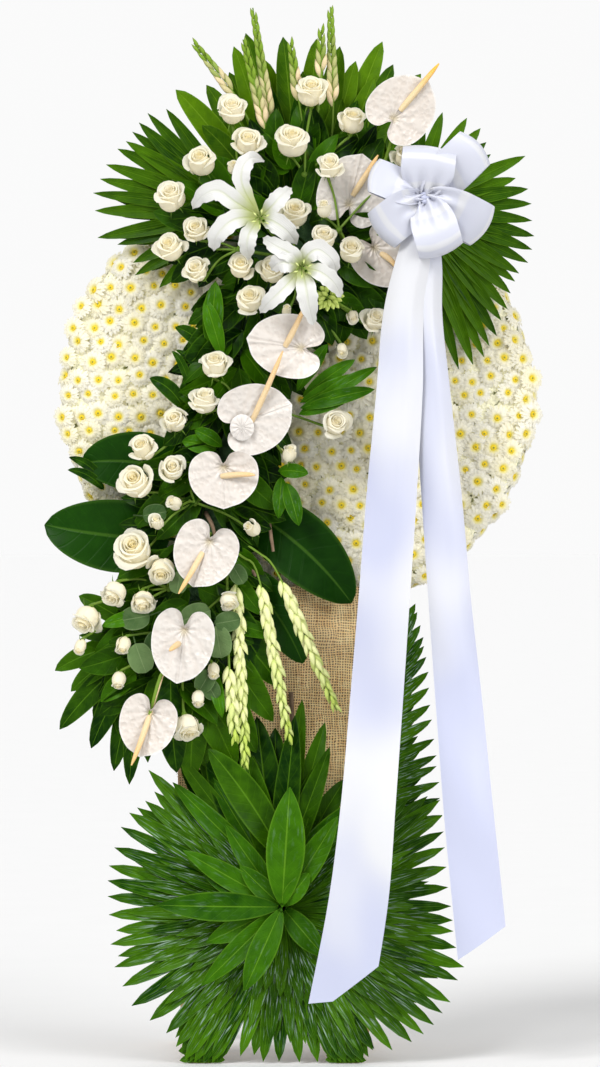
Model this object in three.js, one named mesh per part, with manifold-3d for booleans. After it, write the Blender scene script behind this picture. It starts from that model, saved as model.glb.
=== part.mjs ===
// A standing funeral flower arrangement: an oval disc of daisies on a wooden stand wrapped in
// burlap, with roses, anthuriums, lilies, bud spikes, palm fans and a satin ribbon in front of it.
// Millimetres. X runs to the right, the front faces -Y, and Z is up from the floor.

import * as THREE from 'three'
import { mergeVertices } from 'three/addons/utils/BufferGeometryUtils.js'
import Module from 'manifold-3d'

const wasm = await Module()
wasm.setup()

// Driving dimensions

const GAP = 0.3 // clearance between pieces that meet
const CENTRE_X = -30 // middle of the stand, to the left of the disc's middle

const BOARD = { width: 40, thick: 30 } // planed wood of the stand
const POST = { spread: 130, top: 1330 }
const RUNNER = { front: -110, back: 298 }
const SHELF = { bottom: 150, thick: 18, front: -108 }
const HIGH_RAIL = { bottom: 1230, height: 50, thick: 20 }
const BRACE = { foot: 250, head: 620, thick: 22 }

const DISC = { x: 12, z: 1174, halfWidth: 425, halfHeight: 394, thick: 42 }
const DAISY = { rings: 6, plate: 5, petal: 10, button: 13, rollFrom: 0.82, dome: 12 }

const BURLAP = { width: 350, bottom: 335, top: 838, thick: 3, bow: 9 }

const FOAM_DEPTH = 66
const FOAM_TOP = { x0: -70, x1: 150, z0: 1350, z1: 1500 }
const FOAM_CASCADE = { x0: -52, z0: 1342, x1: -200, z1: 640, width: 84 }
const FOAM_BASE = { x0: -112, x1: 72, depth: 92, height: 160 }

const LEAF_THICK = 1.6
const PLATE_THICK = 1.4 // palm fans and anthurium spathes
const STEM = { rose: 2.6, flower: 3.2, leaf: 3, peg: 26 }

// Depths, measured forward from the plane of the posts

const DISC_BACK = -GAP
const DISC_FRONT = DISC_BACK - DISC.thick
const DAISY_BACK = DISC_FRONT - GAP
const FOAM_BACK = DAISY_BACK - DAISY.plate - DAISY.dome - GAP
const FOAM_FRONT = FOAM_BACK - FOAM_DEPTH
const BASE_FOAM_BACK = -8
const BASE_FOAM_FRONT = BASE_FOAM_BACK - FOAM_BASE.depth

// Colours: hex value, roughness

const LOOKS = {
  wood: [0x8a6a48, 0.75],
  burlap: [0xa98a5e, 0.95],
  foam: [0x3f6b3a, 0.9],
  daisy: [0xf6f2dc, 0.7],
  palm: [0x1f5a22, 0.4],
  leaf: [0x1c4a1f, 0.35],
  bright: [0x3f7d2a, 0.45],
  rose: [0xf6f1dc, 0.6],
  anthurium: [0xf3ebe4, 0.25],
  lily: [0xf8f8f2, 0.45],
  buds: [0xd3dc96, 0.5],
  ribbon: [0xf2f3fb, 0.3],
}

// Solids from points. While a cutter is made, every shape is larger by this much on each side.

let swell = 0

const V = (x, y, z) => new THREE.Vector3(x, y, z)
const lerp = THREE.MathUtils.lerp
const rad = THREE.MathUtils.degToRad

function signedVolume(points, faces) {
  return faces.reduce((sum, [a, b, c]) => {
    return sum + points[a].dot(points[b].clone().cross(points[c])) / 6
  }, 0)
}

function solidOf(points, faces) {
  const inward = signedVolume(points, faces) < 0
  const turned = inward ? faces.map(([a, b, c]) => [a, c, b]) : faces
  return new wasm.Manifold(new wasm.Mesh({
    numProp: 3,
    vertProperties: new Float32Array(points.flatMap((p) => [p.x, p.y, p.z])),
    triVerts: new Uint32Array(turned.flat()),
  }))
}

function solidOfGeometry(geometry) {
  const bare = new THREE.BufferGeometry()
  const flat = geometry.index ? geometry.toNonIndexed() : geometry
  bare.setAttribute('position', flat.getAttribute('position'))
  const merged = mergeVertices(bare, 1e-3)
  return new wasm.Manifold(new wasm.Mesh({
    numProp: 3,
    vertProperties: merged.getAttribute('position').array,
    triVerts: new Uint32Array(merged.index.array),
  }))
}

function geometryOf(solid) {
  const mesh = solid.getMesh()
  const geometry = new THREE.BufferGeometry()
  geometry.setAttribute('position', new THREE.BufferAttribute(mesh.vertProperties, 3))
  geometry.setIndex(new THREE.BufferAttribute(mesh.triVerts, 1))
  geometry.computeVertexNormals()
  return geometry
}

const joined = (solids) => solids.reduce((whole, solid) => whole.add(solid))

// A repeatable stream of numbers from 0 to 1
function seeded(seed) {
  let state = seed
  return () => {
    state = (state * 1664525 + 1013904223) % 4294967296
    return state / 4294967296
  }
}

function board(x0, x1, y0, y1, z0, z1) {
  const box = new THREE.BoxGeometry(x1 - x0, y1 - y0, z1 - z0)
  box.translate((x0 + x1) / 2, (y0 + y1) / 2, (z0 + z1) / 2)
  return solidOfGeometry(box)
}

// Faces between two rings of point numbers; a ring may be one point, or have half the other's count
function stitch(a, b, faces) {
  if (b.length === 1 || a.length === 2 * b.length) {
    const turned = []
    stitch(b, a, turned)
    turned.forEach(([p, q, r]) => faces.push([p, r, q]))
    return
  }
  const next = (ring, j) => ring[(j + 1) % ring.length]
  if (a.length === 1) b.forEach((_, j) => faces.push([a[0], b[j], next(b, j)]))
  else if (a.length === b.length) {
    a.forEach((_, j) => faces.push([a[j], b[j], next(b, j)], [a[j], next(b, j), next(a, j)]))
  } else {
    a.forEach((_, j) => {
      const end = next(b, 2 * j + 1)
      faces.push([a[j], b[2 * j], b[2 * j + 1]], [a[j], b[2 * j + 1], next(a, j)])
      faces.push([next(a, j), b[2 * j + 1], end])
    })
  }
}

// A closed solid through a row of rings; an end ring of several points gets a flat cap
function loft(rings) {
  const points = rings.flat()
  const faces = []
  let count = 0
  const numbers = rings.map((ring) => ring.map(() => count++))
  for (let i = 1; i < numbers.length; i++) stitch(numbers[i - 1], numbers[i], faces)
  const cap = (ring, flip) => {
    for (let j = 1; j < ring.length - 1; j++) {
      faces.push(flip ? [ring[0], ring[j + 1], ring[j]] : [ring[0], ring[j], ring[j + 1]])
    }
  }
  cap(numbers[0], false)
  cap(numbers[numbers.length - 1], true)
  return solidOf(points, faces)
}

// Two directions square to a line
function sides(along, face) {
  const across = along.clone().cross(face).normalize()
  const out = across.clone().cross(along).normalize()
  return [across, out]
}

function tangents(path) {
  return path.map((_, i) => {
    const before = path[Math.max(i - 1, 0)]
    const after = path[Math.min(i + 1, path.length - 1)]
    return after.clone().sub(before).normalize()
  })
}

const FORWARD = V(0, -1, 0)

// A round stem along a path, thinner towards its end
function stem(path, radius, endRadius = radius, count = 4) {
  const along = tangents(path)
  const last = path.length - 1
  let across = sides(along[0], Math.abs(along[0].y) > 0.8 ? V(0, 0, 1) : FORWARD)[0]
  const rings = path.map((p, i) => {
    across = across.clone().addScaledVector(along[i], -across.dot(along[i])).normalize()
    const out = across.clone().cross(along[i])
    const r = lerp(radius, endRadius, i / last) + swell
    const push = i === 0 ? -swell : i === last ? swell : 0
    return Array.from({ length: count }, (_, j) => {
      const angle = (2 * Math.PI * j) / count
      return p.clone()
        .addScaledVector(across, r * Math.cos(angle))
        .addScaledVector(out, r * Math.sin(angle))
        .addScaledVector(along[i], push)
    })
  })
  return loft(rings)
}

// A small knob with eight faces, where stems part
function knob(centre, radius) {
  const r = radius + swell
  const ring = [V(r, 0, 0), V(0, 0, r), V(-r, 0, 0), V(0, 0, -r)].map((p) => p.add(centre))
  return loft([[centre.clone().add(V(0, -r, 0))], ring, [centre.clone().add(V(0, r, 0))]])
}

// The straight pieces between the points of a smooth line
function polyline(points, count) {
  const corners = new THREE.CatmullRomCurve3(points).getPoints(count)
  const line = new THREE.CurvePath()
  corners.slice(1).forEach((p, i) => line.add(new THREE.LineCurve3(corners[i], p)))
  return { corners, line }
}

// A pointed blade along a path, with a ridge or a channel along its middle
function blade(path, halfWidths, face = FORWARD, fold = 0, thick = LEAF_THICK) {
  const along = tangents(path)
  const last = path.length - 1
  const rings = path.map((p, i) => {
    if (i === 0 || i === last) return [p.clone().addScaledVector(along[i], i ? swell : -swell)]
    const [across, out] = sides(along[i], face)
    const half = halfWidths[i - 1] + swell
    const mid = fold * halfWidths[i - 1]
    const rise = thick / 2 + swell
    return [
      p.clone().addScaledVector(across, -half),
      p.clone().addScaledVector(out, mid + rise),
      p.clone().addScaledVector(across, half),
      p.clone().addScaledVector(out, mid - rise),
    ]
  })
  return loft(rings)
}

function curve(from, to, bend, shares) {
  const middle = from.clone().lerp(to, 0.5).addScaledVector(bend, 2)
  const line = new THREE.QuadraticBezierCurve3(from, middle, to)
  return shares.map((share) => line.getPoint(share))
}

// A leaf from root to tip; the bend is how far its middle stands off the straight line
function leaf(root, tip, width, bend = V(0, -8, 0), fold = -0.12, face = FORWARD) {
  const path = curve(root, tip, bend, [0, 0.22, 0.58, 1])
  return blade(path, [width * 0.4, width * 0.5], face, fold)
}

function broadLeaf(root, tip, width, bend, fold = -0.1) {
  const path = curve(root, tip, bend, [0, 0.12, 0.36, 0.66, 0.88, 1])
  return blade(path, [width * 0.36, width * 0.5, width * 0.42, width * 0.2], FORWARD, fold)
}

// The last stretch of a stem: straight back into a plain hole in the foam's front
function pegPath(x, z) {
  return [V(x, FOAM_FRONT - 12, z), V(x, FOAM_FRONT + STEM.peg, z)]
}

function stemTo(from, x, z, radius) {
  return stem([from, ...pegPath(x, z)], radius, radius, 3)
}

// Wooden stand

function makeStand() {
  const nodes = {}
  for (const [side, sign] of [['left', -1], ['right', 1]]) {
    const x = CENTRE_X + sign * POST.spread
    const half = BOARD.width / 2
    const braceX = x + sign * (half + GAP + BRACE.thick / 2)
    nodes['runner_' + side] = board(x - half, x + half, RUNNER.front, RUNNER.back, 0, BOARD.thick)
    nodes['post_' + side] = board(x - half, x + half, 0, BOARD.thick, BOARD.thick, POST.top)
    nodes['brace_' + side] = brace(braceX)
  }
  const reach = POST.spread + BOARD.width / 2
  const rail = [CENTRE_X - reach, CENTRE_X + reach]
  nodes.shelf = board(...rail, SHELF.front, 0, SHELF.bottom, SHELF.bottom + SHELF.thick)
  nodes.high_rail = board(...rail, BOARD.thick, BOARD.thick + HIGH_RAIL.thick,
    HIGH_RAIL.bottom, HIGH_RAIL.bottom + HIGH_RAIL.height)
  return nodes
}

// A slanting board outside a post, from the back of the runner up to the post
function brace(x) {
  const half = BRACE.thick / 2
  const outline = new THREE.Shape([
    new THREE.Vector2(BRACE.foot, 0),
    new THREE.Vector2(BRACE.foot + 36, 0),
    new THREE.Vector2(BOARD.thick, BRACE.head),
    new THREE.Vector2(0, BRACE.head),
    new THREE.Vector2(0, BRACE.head - 66),
  ])
  const geometry = new THREE.ExtrudeGeometry(outline, { depth: 2 * half, bevelEnabled: false })
  geometry.applyMatrix4(new THREE.Matrix4().makeBasis(V(0, 1, 0), V(0, 0, 1), V(1, 0, 0)))
  geometry.translate(x - half, 0, 0)
  return solidOfGeometry(geometry)
}

// Oval foam disc

function discSolid() {
  const outline = new THREE.Shape()
  outline.absellipse(0, 0, DISC.halfWidth - 14, DISC.halfHeight - 14, 0, 2 * Math.PI)
  const options = { depth: DISC.thick, bevelEnabled: false, curveSegments: 20 }
  const geometry = new THREE.ExtrudeGeometry(outline, options)
  geometry.rotateX(Math.PI / 2)
  geometry.translate(DISC.x, DISC_BACK, DISC.z)
  return solidOfGeometry(geometry)
}

// Daisies: rings of six-petalled flowers that share their edges, on one plate.
// Ring k has 6k flowers, as in a hexagonal net that is drawn out to an oval.
// What the foam blocks cover is left flat.

function daisyField() {
  const points = []
  const faces = []
  const step = 1 / (DAISY.rings + 0.5)
  const spot = (k, t) => {
    const angle = k === 0 ? 0 : (2 * Math.PI * t) / (6 * k)
    return new THREE.Vector2(k * step * Math.cos(angle), k * step * Math.sin(angle))
  }
  const axial = (q, r) => {
    const k = Math.max(Math.abs(q), Math.abs(r), Math.abs(q + r))
    if (k === 0) return spot(0, 0)
    const corners = [[k, 0], [0, k], [-k, k], [-k, 0], [0, -k], [k, -k]]
    for (let side = 0; side < 6; side++) {
      const [q0, r0] = corners[side]
      const [q1, r1] = corners[(side + 1) % 6]
      const s = q1 !== q0 ? (q - q0) / (q1 - q0) : (r - r0) / (r1 - r0)
      const onSide = q === q0 + s * (q1 - q0) && r === r0 + s * (r1 - r0)
      if (onSide && s >= 0 && s < 1) return spot(k, (side + s) * k)
    }
    return spot(k, 0)
  }
  const place = (flat, height) => {
    const roll = Math.max(0, flat.length() - DAISY.rollFrom) / (1 - DAISY.rollFrom)
    const lift = DAISY.dome * (1 - 0.9 * Math.min(1, roll) ** 2)
    const x = DISC.x + flat.x * DISC.halfWidth
    const z = DISC.z + flat.y * DISC.halfHeight
    return V(x, DAISY_BACK - DAISY.plate - lift - height, z)
  }
  const hidden = (flat) => {
    const x = DISC.x + flat.x * DISC.halfWidth
    const z = DISC.z + flat.y * DISC.halfHeight
    return underFoam(x, z, 62)
  }
  const kept = new Map()
  const vertex = (key, point) => {
    if (!kept.has(key)) {
      kept.set(key, points.length)
      points.push(point)
    }
    return kept.get(key)
  }
  const mean = (...spots) => {
    return spots.reduce((sum, s) => sum.add(s), new THREE.Vector2()).divideScalar(spots.length)
  }
  const around = [[1, 0], [0, 1], [-1, 1], [-1, 0], [0, -1], [1, -1]]
  const rim = new Map()
  for (let q = -DAISY.rings; q <= DAISY.rings; q++) {
    for (let r = -DAISY.rings; r <= DAISY.rings; r++) {
      if (Math.abs(q + r) > DAISY.rings) continue
      const centre = axial(q, r)
      const flatHere = hidden(centre)
      const neighbours = around.map(([dq, dr]) => [q + dq, r + dr])
      const ring = []
      neighbours.forEach(([nq, nr], j) => {
        const [mq, mr] = neighbours[(j + 1) % 6]
        const other = axial(nq, nr)
        const edge = mean(centre, other)
        const corner = mean(centre, other, axial(mq, mr))
        const edgeKey = [q + nq, r + nr, 'edge'].join()
        const cornerKey = [q + nq + mq, r + nr + mr, 'corner'].join()
        const petal = flatHere || hidden(other) ? 0 : DAISY.petal
        ring.push([vertex(edgeKey, place(edge, petal)), edge, outside(nq, nr)])
        const free = outside(nq, nr) || outside(mq, mr)
        ring.push([vertex(cornerKey, place(corner, 0)), corner, free])
      })
      if (flatHere) {
        const top = vertex([q, r, 'top'].join(), place(centre, 0))
        ring.forEach(([a], j) => faces.push([top, a, ring[(j + 1) % 12][0]]))
      } else {
        const inner = neighbours.map(([nq, nr], j) => {
          const spotHere = centre.clone().lerp(axial(nq, nr), 0.2)
          return vertex([q, r, 'inner', j].join(), place(spotHere, DAISY.button))
        })
        inner.forEach((a, j) => {
          const b = inner[(j + 1) % 6]
          const [e0, c0, e1] = [ring[2 * j][0], ring[2 * j + 1][0], ring[(2 * j + 2) % 12][0]]
          faces.push([a, e0, c0], [a, c0, b], [b, c0, e1])
        })
        for (let j = 1; j < 5; j++) faces.push([inner[0], inner[j], inner[j + 1]])
      }
      ring.forEach(([a, , freeA], j) => {
        const [b, , freeB] = ring[(j + 1) % 12]
        if (freeA && freeB) rim.set(a, b)
      })
    }
  }
  // The flat back, and the edge between it and the flowers
  const start = rim.keys().next().value
  const loop = []
  for (let at = start; loop.length === 0 || at !== start; at = rim.get(at)) loop.push(at)
  const back = loop.map((a) => {
    points.push(V(points[a].x, DAISY_BACK, points[a].z))
    return points.length - 1
  })
  points.push(V(DISC.x, DAISY_BACK, DISC.z))
  const middle = points.length - 1
  loop.forEach((a, j) => {
    const b = loop[(j + 1) % loop.length]
    const backB = back[(j + 1) % loop.length]
    faces.push([b, a, back[j]], [b, back[j], backB], [backB, back[j], middle])
  })
  return solidOf(points, faces)
}

function outside(q, r) {
  return Math.max(Math.abs(q), Math.abs(r), Math.abs(q + r)) > DAISY.rings
}

// Whether a point of the front view lies on a foam block's back, or within a margin of it
function underFoam(x, z, margin) {
  const top = x > FOAM_TOP.x0 - margin && x < FOAM_TOP.x1 + margin &&
    z > FOAM_TOP.z0 - margin && z < FOAM_TOP.z1 + margin
  const run = (FOAM_CASCADE.z0 - z) / (FOAM_CASCADE.z0 - FOAM_CASCADE.z1)
  const off = Math.abs(x - cascadeX(z))
  const cascade = run > -0.05 && run < 1.05 && off < FOAM_CASCADE.width / 2 + margin
  return top || cascade
}

function cascadeX(z) {
  const run = (FOAM_CASCADE.z0 - z) / (FOAM_CASCADE.z0 - FOAM_CASCADE.z1)
  return lerp(FOAM_CASCADE.x0, FOAM_CASCADE.x1, run)
}

// Burlap, stretched down the front of the stand and out over the disc's lower edge

function burlap() {
  const far = FOAM_BACK - DAISY.button - BURLAP.thick - 1
  const profile = [
    [BURLAP.bottom, -5],
    [600, -5],
    [700, -16],
    [752, far + 14],
    [785, far],
    [BURLAP.top, far - 2],
  ]
  const rings = profile.map(([z, y]) => {
    const half = lerp(BURLAP.width / 2, BURLAP.width / 2 - 12, z / BURLAP.top)
    const spread = [-1, -0.8, 0.8, 1]
    const row = spread.map((s) => {
      return V(CENTRE_X + s * half, y - BURLAP.bow * (1 - s * s) * (1 - z / 1000), z)
    })
    const backRow = row.map((p) => p.clone().add(V(0, BURLAP.thick, 0))).reverse()
    return [...row, ...backRow]
  })
  return loft(rings)
}

// Foam blocks, before the stems' holes

function foamTop() {
  return board(FOAM_TOP.x0, FOAM_TOP.x1, FOAM_FRONT, FOAM_BACK, FOAM_TOP.z0, FOAM_TOP.z1)
}

function foamCascade() {
  const run = V(FOAM_CASCADE.x1 - FOAM_CASCADE.x0, 0, FOAM_CASCADE.z1 - FOAM_CASCADE.z0)
  const geometry = new THREE.BoxGeometry(FOAM_CASCADE.width, FOAM_DEPTH, run.length())
  geometry.rotateY(Math.atan2(run.x, run.z) + Math.PI)
  const middleX = (FOAM_CASCADE.x0 + FOAM_CASCADE.x1) / 2
  const middleZ = (FOAM_CASCADE.z0 + FOAM_CASCADE.z1) / 2
  geometry.translate(middleX, (FOAM_FRONT + FOAM_BACK) / 2, middleZ)
  const clear = board(FOAM_TOP.x0 - 50, FOAM_TOP.x1, FOAM_FRONT - 5, FOAM_BACK + 5,
    FOAM_TOP.z0 - GAP, FOAM_TOP.z1)
  return solidOfGeometry(geometry).subtract(clear)
}

function foamBase() {
  const bottom = SHELF.bottom + SHELF.thick
  return board(FOAM_BASE.x0, FOAM_BASE.x1, BASE_FOAM_FRONT, BASE_FOAM_BACK,
    bottom, bottom + FOAM_BASE.height)
}

// Palm fans: one pleated blade, cut into pointed leaflets.
// The reach is a list of [angle, length] that the leaflets follow.

function palmFan({ hub, from, to, count, reach, notch = 0.68, pleat = 5, droop = 14 }) {
  const [hx, hy, hz] = hub
  const step = (to - from) / count
  const lengthAt = (angle) => {
    const i = Math.max(1, reach.findIndex(([a]) => a >= angle))
    const [a0, l0] = reach[i - 1]
    const [a1, l1] = reach[i]
    return lerp(l0, l1, THREE.MathUtils.clamp((angle - a0) / (a1 - a0), 0, 1))
  }
  const half = PLATE_THICK / 2 + swell
  const points = []
  const faces = []
  const pair = (angle, length, forward) => {
    const share = length / 300
    const y = hy + droop * share * share - forward
    const x = hx + length * Math.cos(rad(angle))
    const z = hz + length * Math.sin(rad(angle))
    points.push(V(x, y - half, z), V(x, y + half, z))
    return [points.length - 2, points.length - 1]
  }
  const hubPair = pair(0, 0, 0)
  const front = (a, b, c) => faces.push([a[0], b[0], c[0]], [a[1], c[1], b[1]])
  const edge = (a, b) => faces.push([a[0], a[1], b[1]], [a[0], b[1], b[0]])
  const notches = Array.from({ length: count + 1 }, (_, i) => {
    const angle = from + i * step
    return pair(angle, lengthAt(angle) * notch, 0)
  })
  for (let i = 0; i < count; i++) {
    const angle = from + (i + 0.5) * step
    const length = lengthAt(angle) * (i % 2 ? 1 : 0.96)
    const ridge = pair(angle, length * 0.62, pleat)
    const tip = pair(angle, length + swell, 0)
    const [left, right] = [notches[i], notches[i + 1]]
    front(hubPair, left, ridge)
    front(left, tip, ridge)
    front(hubPair, ridge, right)
    front(ridge, tip, right)
    edge(left, tip)
    edge(tip, right)
  }
  edge(hubPair, notches[0])
  edge(notches[count], hubPair)
  return solidOf(points, faces)
}

const FANS = {
  palm_fan_upper_left: {
    hub: [-92, -92, 1500], from: 103, to: 238, count: 16, notch: 0.5,
    reach: [[95, 215], [125, 222], [145, 262], [165, 262], [180, 262], [205, 240], [240, 190]],
  },
  palm_fan_upper_right: {
    hub: [214, -92, 1508], from: -78, to: 78, count: 17, notch: 0.5,
    reach: [[-80, 282], [-50, 232], [-25, 220], [0, 212], [25, 200], [50, 170], [80, 176]],
  },
  palm_fan_base_left: {
    hub: [-26, -122, 284], from: 134, to: 182, count: 11,
    reach: [[130, 345], [150, 312], [165, 308], [185, 300]],
  },
  palm_fan_base_low_left: {
    hub: [-22, -132, 268], from: 182, to: 236, count: 13,
    reach: [[180, 304], [205, 300], [220, 296], [240, 286]],
  },
  palm_fan_base_low: {
    hub: [-14, -122, 262], from: 232, to: 290, count: 13,
    reach: [[230, 283], [255, 262], [270, 259], [292, 264]],
  },
  palm_fan_base_low_right: {
    hub: [-4, -132, 270], from: 286, to: 352, count: 14,
    reach: [[284, 264], [305, 284], [325, 300], [342, 318], [355, 296]],
  },
}

// The stem behind each fan: where it bends, and where it enters the foam
const FAN_STEMS = {
  palm_fan_upper_left: [V(-92, -92, 1500), V(FOAM_TOP.x0 + STEM.peg, -92, 1488)],
  palm_fan_upper_right: [V(214, -92, 1508), V(FOAM_TOP.x1 - STEM.peg, -92, 1480)],
  palm_fan_base_left: [V(-26, -122, 284), V(-26, BASE_FOAM_FRONT + STEM.peg, 284)],
  palm_fan_base_low_left: [V(-22, -132, 268), V(-22, BASE_FOAM_FRONT + STEM.peg, 262)],
  palm_fan_base_low: [V(-14, -122, 262), V(-10, BASE_FOAM_FRONT + STEM.peg, 240)],
  palm_fan_base_low_right: [V(-4, -132, 270), V(6, BASE_FOAM_FRONT + STEM.peg, 270)],
}

function fanWithStem(name) {
  const [from, to] = FAN_STEMS[name]
  const start = from.clone().add(V(0, -1, 0))
  return palmFan(FANS[name]).add(stem([start, to], 4.5))
}

// A feathered frond: a rib with narrow leaflets along both sides

function tallFrond() {
  const rib = [V(48, -106, 262), V(78, -108, 400), V(128, -104, 620), V(166, -100, 770), V(196, -98, 812)]
  const { corners, line } = polyline(rib, 6)
  const parts = [stem([V(34, BASE_FOAM_FRONT + STEM.peg, 240), ...corners], 3.6, 2, 3)]
  const count = 14
  for (let i = 0; i < count; i++) {
    const share = i / (count - 1)
    const root = line.getPointAt(lerp(0.04, 0.97, share))
    const length = lerp(205, 70, share ** 1.3)
    const angle = rad(lerp(22, 62, share))
    const tip = root.clone().add(V(length * Math.cos(angle), 6, length * Math.sin(angle)))
    parts.push(frondLeaflet(root, tip, 19))
    if (i % 3) continue
    const inner = rad(lerp(150, 118, share))
    const way = V(Math.cos(inner), 0, Math.sin(inner))
    const back = root.clone().addScaledVector(way, 0.5 * length).add(V(0, 6, 0))
    parts.push(frondLeaflet(root, back, 17))
  }
  return joined(parts)
}

function frondLeaflet(root, tip, width) {
  return blade(curve(root, tip, V(0, -3, 0), [0, 0.45, 1]), [width / 2], FORWARD, -0.15)
}

// Large single leaves: root, tip, width, bend, then the end of the stem inside the foam
const LARGE_LEAVES = {
  large_leaf_left: [V(-214, -102, 922), V(-436, -96, 948), 128, V(0, -12, -6), V(-160, -98, 915)],
  large_leaf_left_rear: [V(-190, -94, 1040), V(-372, -88, 1056), 108, V(0, -8, 10), V(-134, -94, 1034)],
  large_leaf_right: [V(-66, -104, 968), V(107, -122, 808), 118, V(8, -16, 10), V(-108, -100, 976)],
  large_leaf_low: [V(-86, -102, 862), V(21, -118, 702), 78, V(10, -10, 4), V(-134, -98, 868)],
}

function largeLeaf(name) {
  const [root, tip, width, bend, end] = LARGE_LEAVES[name]
  const start = root.clone().lerp(tip, 0.06)
  return broadLeaf(root, tip, width, bend).add(stem([start, end], STEM.leaf))
}

// Upright leaves at the top, from one crown on the foam

const CROWN_TOP = { x0: -62, x1: 108, y: -96, z: 1511, radius: 12 }
const TOP_LEAVES = [
  [-203, 1713, 46], [-149, 1722, 40], [-109, 1745, 42], [-101, 1789, 40], [-80, 1813, 42],
  [-48, 1768, 44], [-14, 1806, 44], [45, 1803, 42], [64, 1742, 44], [86, 1789, 44],
  [114, 1764, 40], [161, 1799, 44], [146, 1734, 40], [180, 1758, 40], [229, 1742, 48],
]

function topLeaves() {
  const { x0, x1, y, z, radius } = CROWN_TOP
  const parts = [stem([V(x0, y, z), V(x1, y, z)], radius)]
  for (const share of [0.25, 0.75]) {
    const x = lerp(x0, x1, share)
    parts.push(stem([V(x, y, z), V(x, y, FOAM_TOP.z1 - STEM.peg)], 6))
  }
  TOP_LEAVES.forEach(([tipX, tipZ, width], i) => {
    const lane = y + 7 * (i % 3) - 7
    const root = V(lerp(x0 + 4, x1 - 4, i / (TOP_LEAVES.length - 1)), lane, z)
    parts.push(leaf(root, V(tipX, lane, tipZ), width, V((tipX - root.x) * -0.06, 0, 6), -0.06))
  })
  return joined(parts)
}

// Tall leaves and the rosette in front of the foot

const BASE_TALL = {
  crown: V(-24, -118, 318),
  spacing: 4,
  spread: 0.03,
  lanes: 4,
  tips: [
    [7, 612, 46], [68, 557, 40], [40, 520, 36], [-147, 556, 74], [-208, 495, 40], [-141, 506, 34],
    [-206, 550, 36], [132, 470, 52], [-84, 560, 52],
  ],
}

const ROSETTE = {
  crown: V(-16, -176, 279),
  spacing: 3.4,
  spread: 0,
  lanes: 12,
  tips: [
    [-2, 490, 68], [-82, 133, 48], [34, 342, 34], [-235, 283, 52], [82, 438, 46], [-158, 140, 40],
    [-90, 352, 36], [-189, 378, 42], [60, 190, 44], [-154, 334, 40], [-150, 215, 44], [-116, 424, 40],
  ],
}

// Leaves that leave a crown one behind the other; the first is in front
function baseTuft({ crown, tips, spacing, spread, lanes }) {
  const radius = 12
  const deep = spacing * Math.min(lanes, tips.length)
  const entry = V(crown.x, BASE_FOAM_FRONT + STEM.peg, Math.min(crown.z, 316))
  const front = crown.clone().add(V(0, -radius, 0))
  const back = crown.clone().add(V(0, deep, 0))
  const parts = [stem([front, back, entry], radius, 8)]
  tips.forEach(([x, z, width], i) => {
    const root = crown.clone().add(V((x - crown.x) * spread, spacing * (i % lanes), 0))
    parts.push(leaf(root, V(x, root.y - 16, z), width, V(0, -6, 0), -0.05))
  })
  return joined(parts)
}

// Leafy branches that fill the space between the blooms

function leafyBranch(path, count, length, width, seed, shares) {
  const random = seeded(seed)
  const { corners, line } = polyline(path, path.length > 2 ? 6 : 1)
  const parts = [stem(corners, STEM.leaf, 2, 3)]
  for (let i = 0; i < count; i++) {
    const share = lerp(shares[0], shares[1], i / (count - 1))
    const root = line.getPointAt(share)
    const along = line.getTangentAt(share)
    const turn = (i % 2 ? 1 : -1) * rad(lerp(48, 66, random()))
    const way = along.clone().applyAxisAngle(FORWARD, turn)
    const tip = root.clone().addScaledVector(way, length * lerp(0.8, 1.15, random()))
    const face = FORWARD.clone().addScaledVector(along, 0.3).normalize()
    parts.push(leaf(root, tip, width * lerp(0.85, 1.1, random()), V(0, -3, 0), -0.06, face))
  }
  return joined(parts)
}

// Branches over the upper foam: [way in degrees, length] from their heart
const TOP_BRANCHES = [[136, 220], [84, 190], [202, 225], [172, 245], [-45, 180], [245, 115]]

function fillTop() {
  const y = FOAM_FRONT - 8
  const heart = V(40, y, 1425)
  const parts = [stem([heart, V(40, FOAM_FRONT + STEM.peg, 1425)], 5)]
  TOP_BRANCHES.forEach(([angle, length], i) => {
    const way = V(Math.cos(rad(angle)), 0, Math.sin(rad(angle)))
    const end = heart.clone().addScaledVector(way, length).add(V(0, -2, 0))
    parts.push(leafyBranch([heart, end], 3, 92, 48, 11 + i, [0.5, 0.97]))
  })
  return joined(parts)
}

function fillCascade() {
  const y = FOAM_FRONT - 8
  const path = [1320, 1180, 1030, 880, 740, 640].map((z) => V(cascadeX(z) - 24, y, z))
  const x = cascadeX(980) - 24
  const peg = stem([V(x, y, 980), V(x, FOAM_FRONT + STEM.peg, 980)], 5)
  return joined([peg, leafyBranch(path, 22, 132, 54, 5, [0.02, 0.99])])
}

// Long leaves that trail to the lower left of the cascade

const TRAIL_TIPS = [
  [-416, 690, 40], [-388, 653, 38], [-408, 586, 44], [-352, 553, 44], [-312, 513, 42], [-285, 489, 40],
  [-374, 822, 36], [-240, 560, 40],
]

function trailingLeaves() {
  const crown = V(-232, FOAM_FRONT + 16, 742)
  const foot = V(cascadeX(crown.z) - 22, crown.y, crown.z)
  const parts = [stem([crown.clone().add(V(-6, 0, 0)), foot], 9, 7)]
  TRAIL_TIPS.forEach(([x, z, width], i) => {
    const lane = 4 * (i % 3) - 4
    const root = crown.clone().add(V(-3, lane, 4 - 1.2 * i))
    parts.push(leaf(root, V(x, root.y + 8, z), width, V(-8, 0, 10), -0.06))
  })
  return joined(parts)
}

// Bud spikes: base and tip of the part with buds, then the path down to the foam

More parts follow.
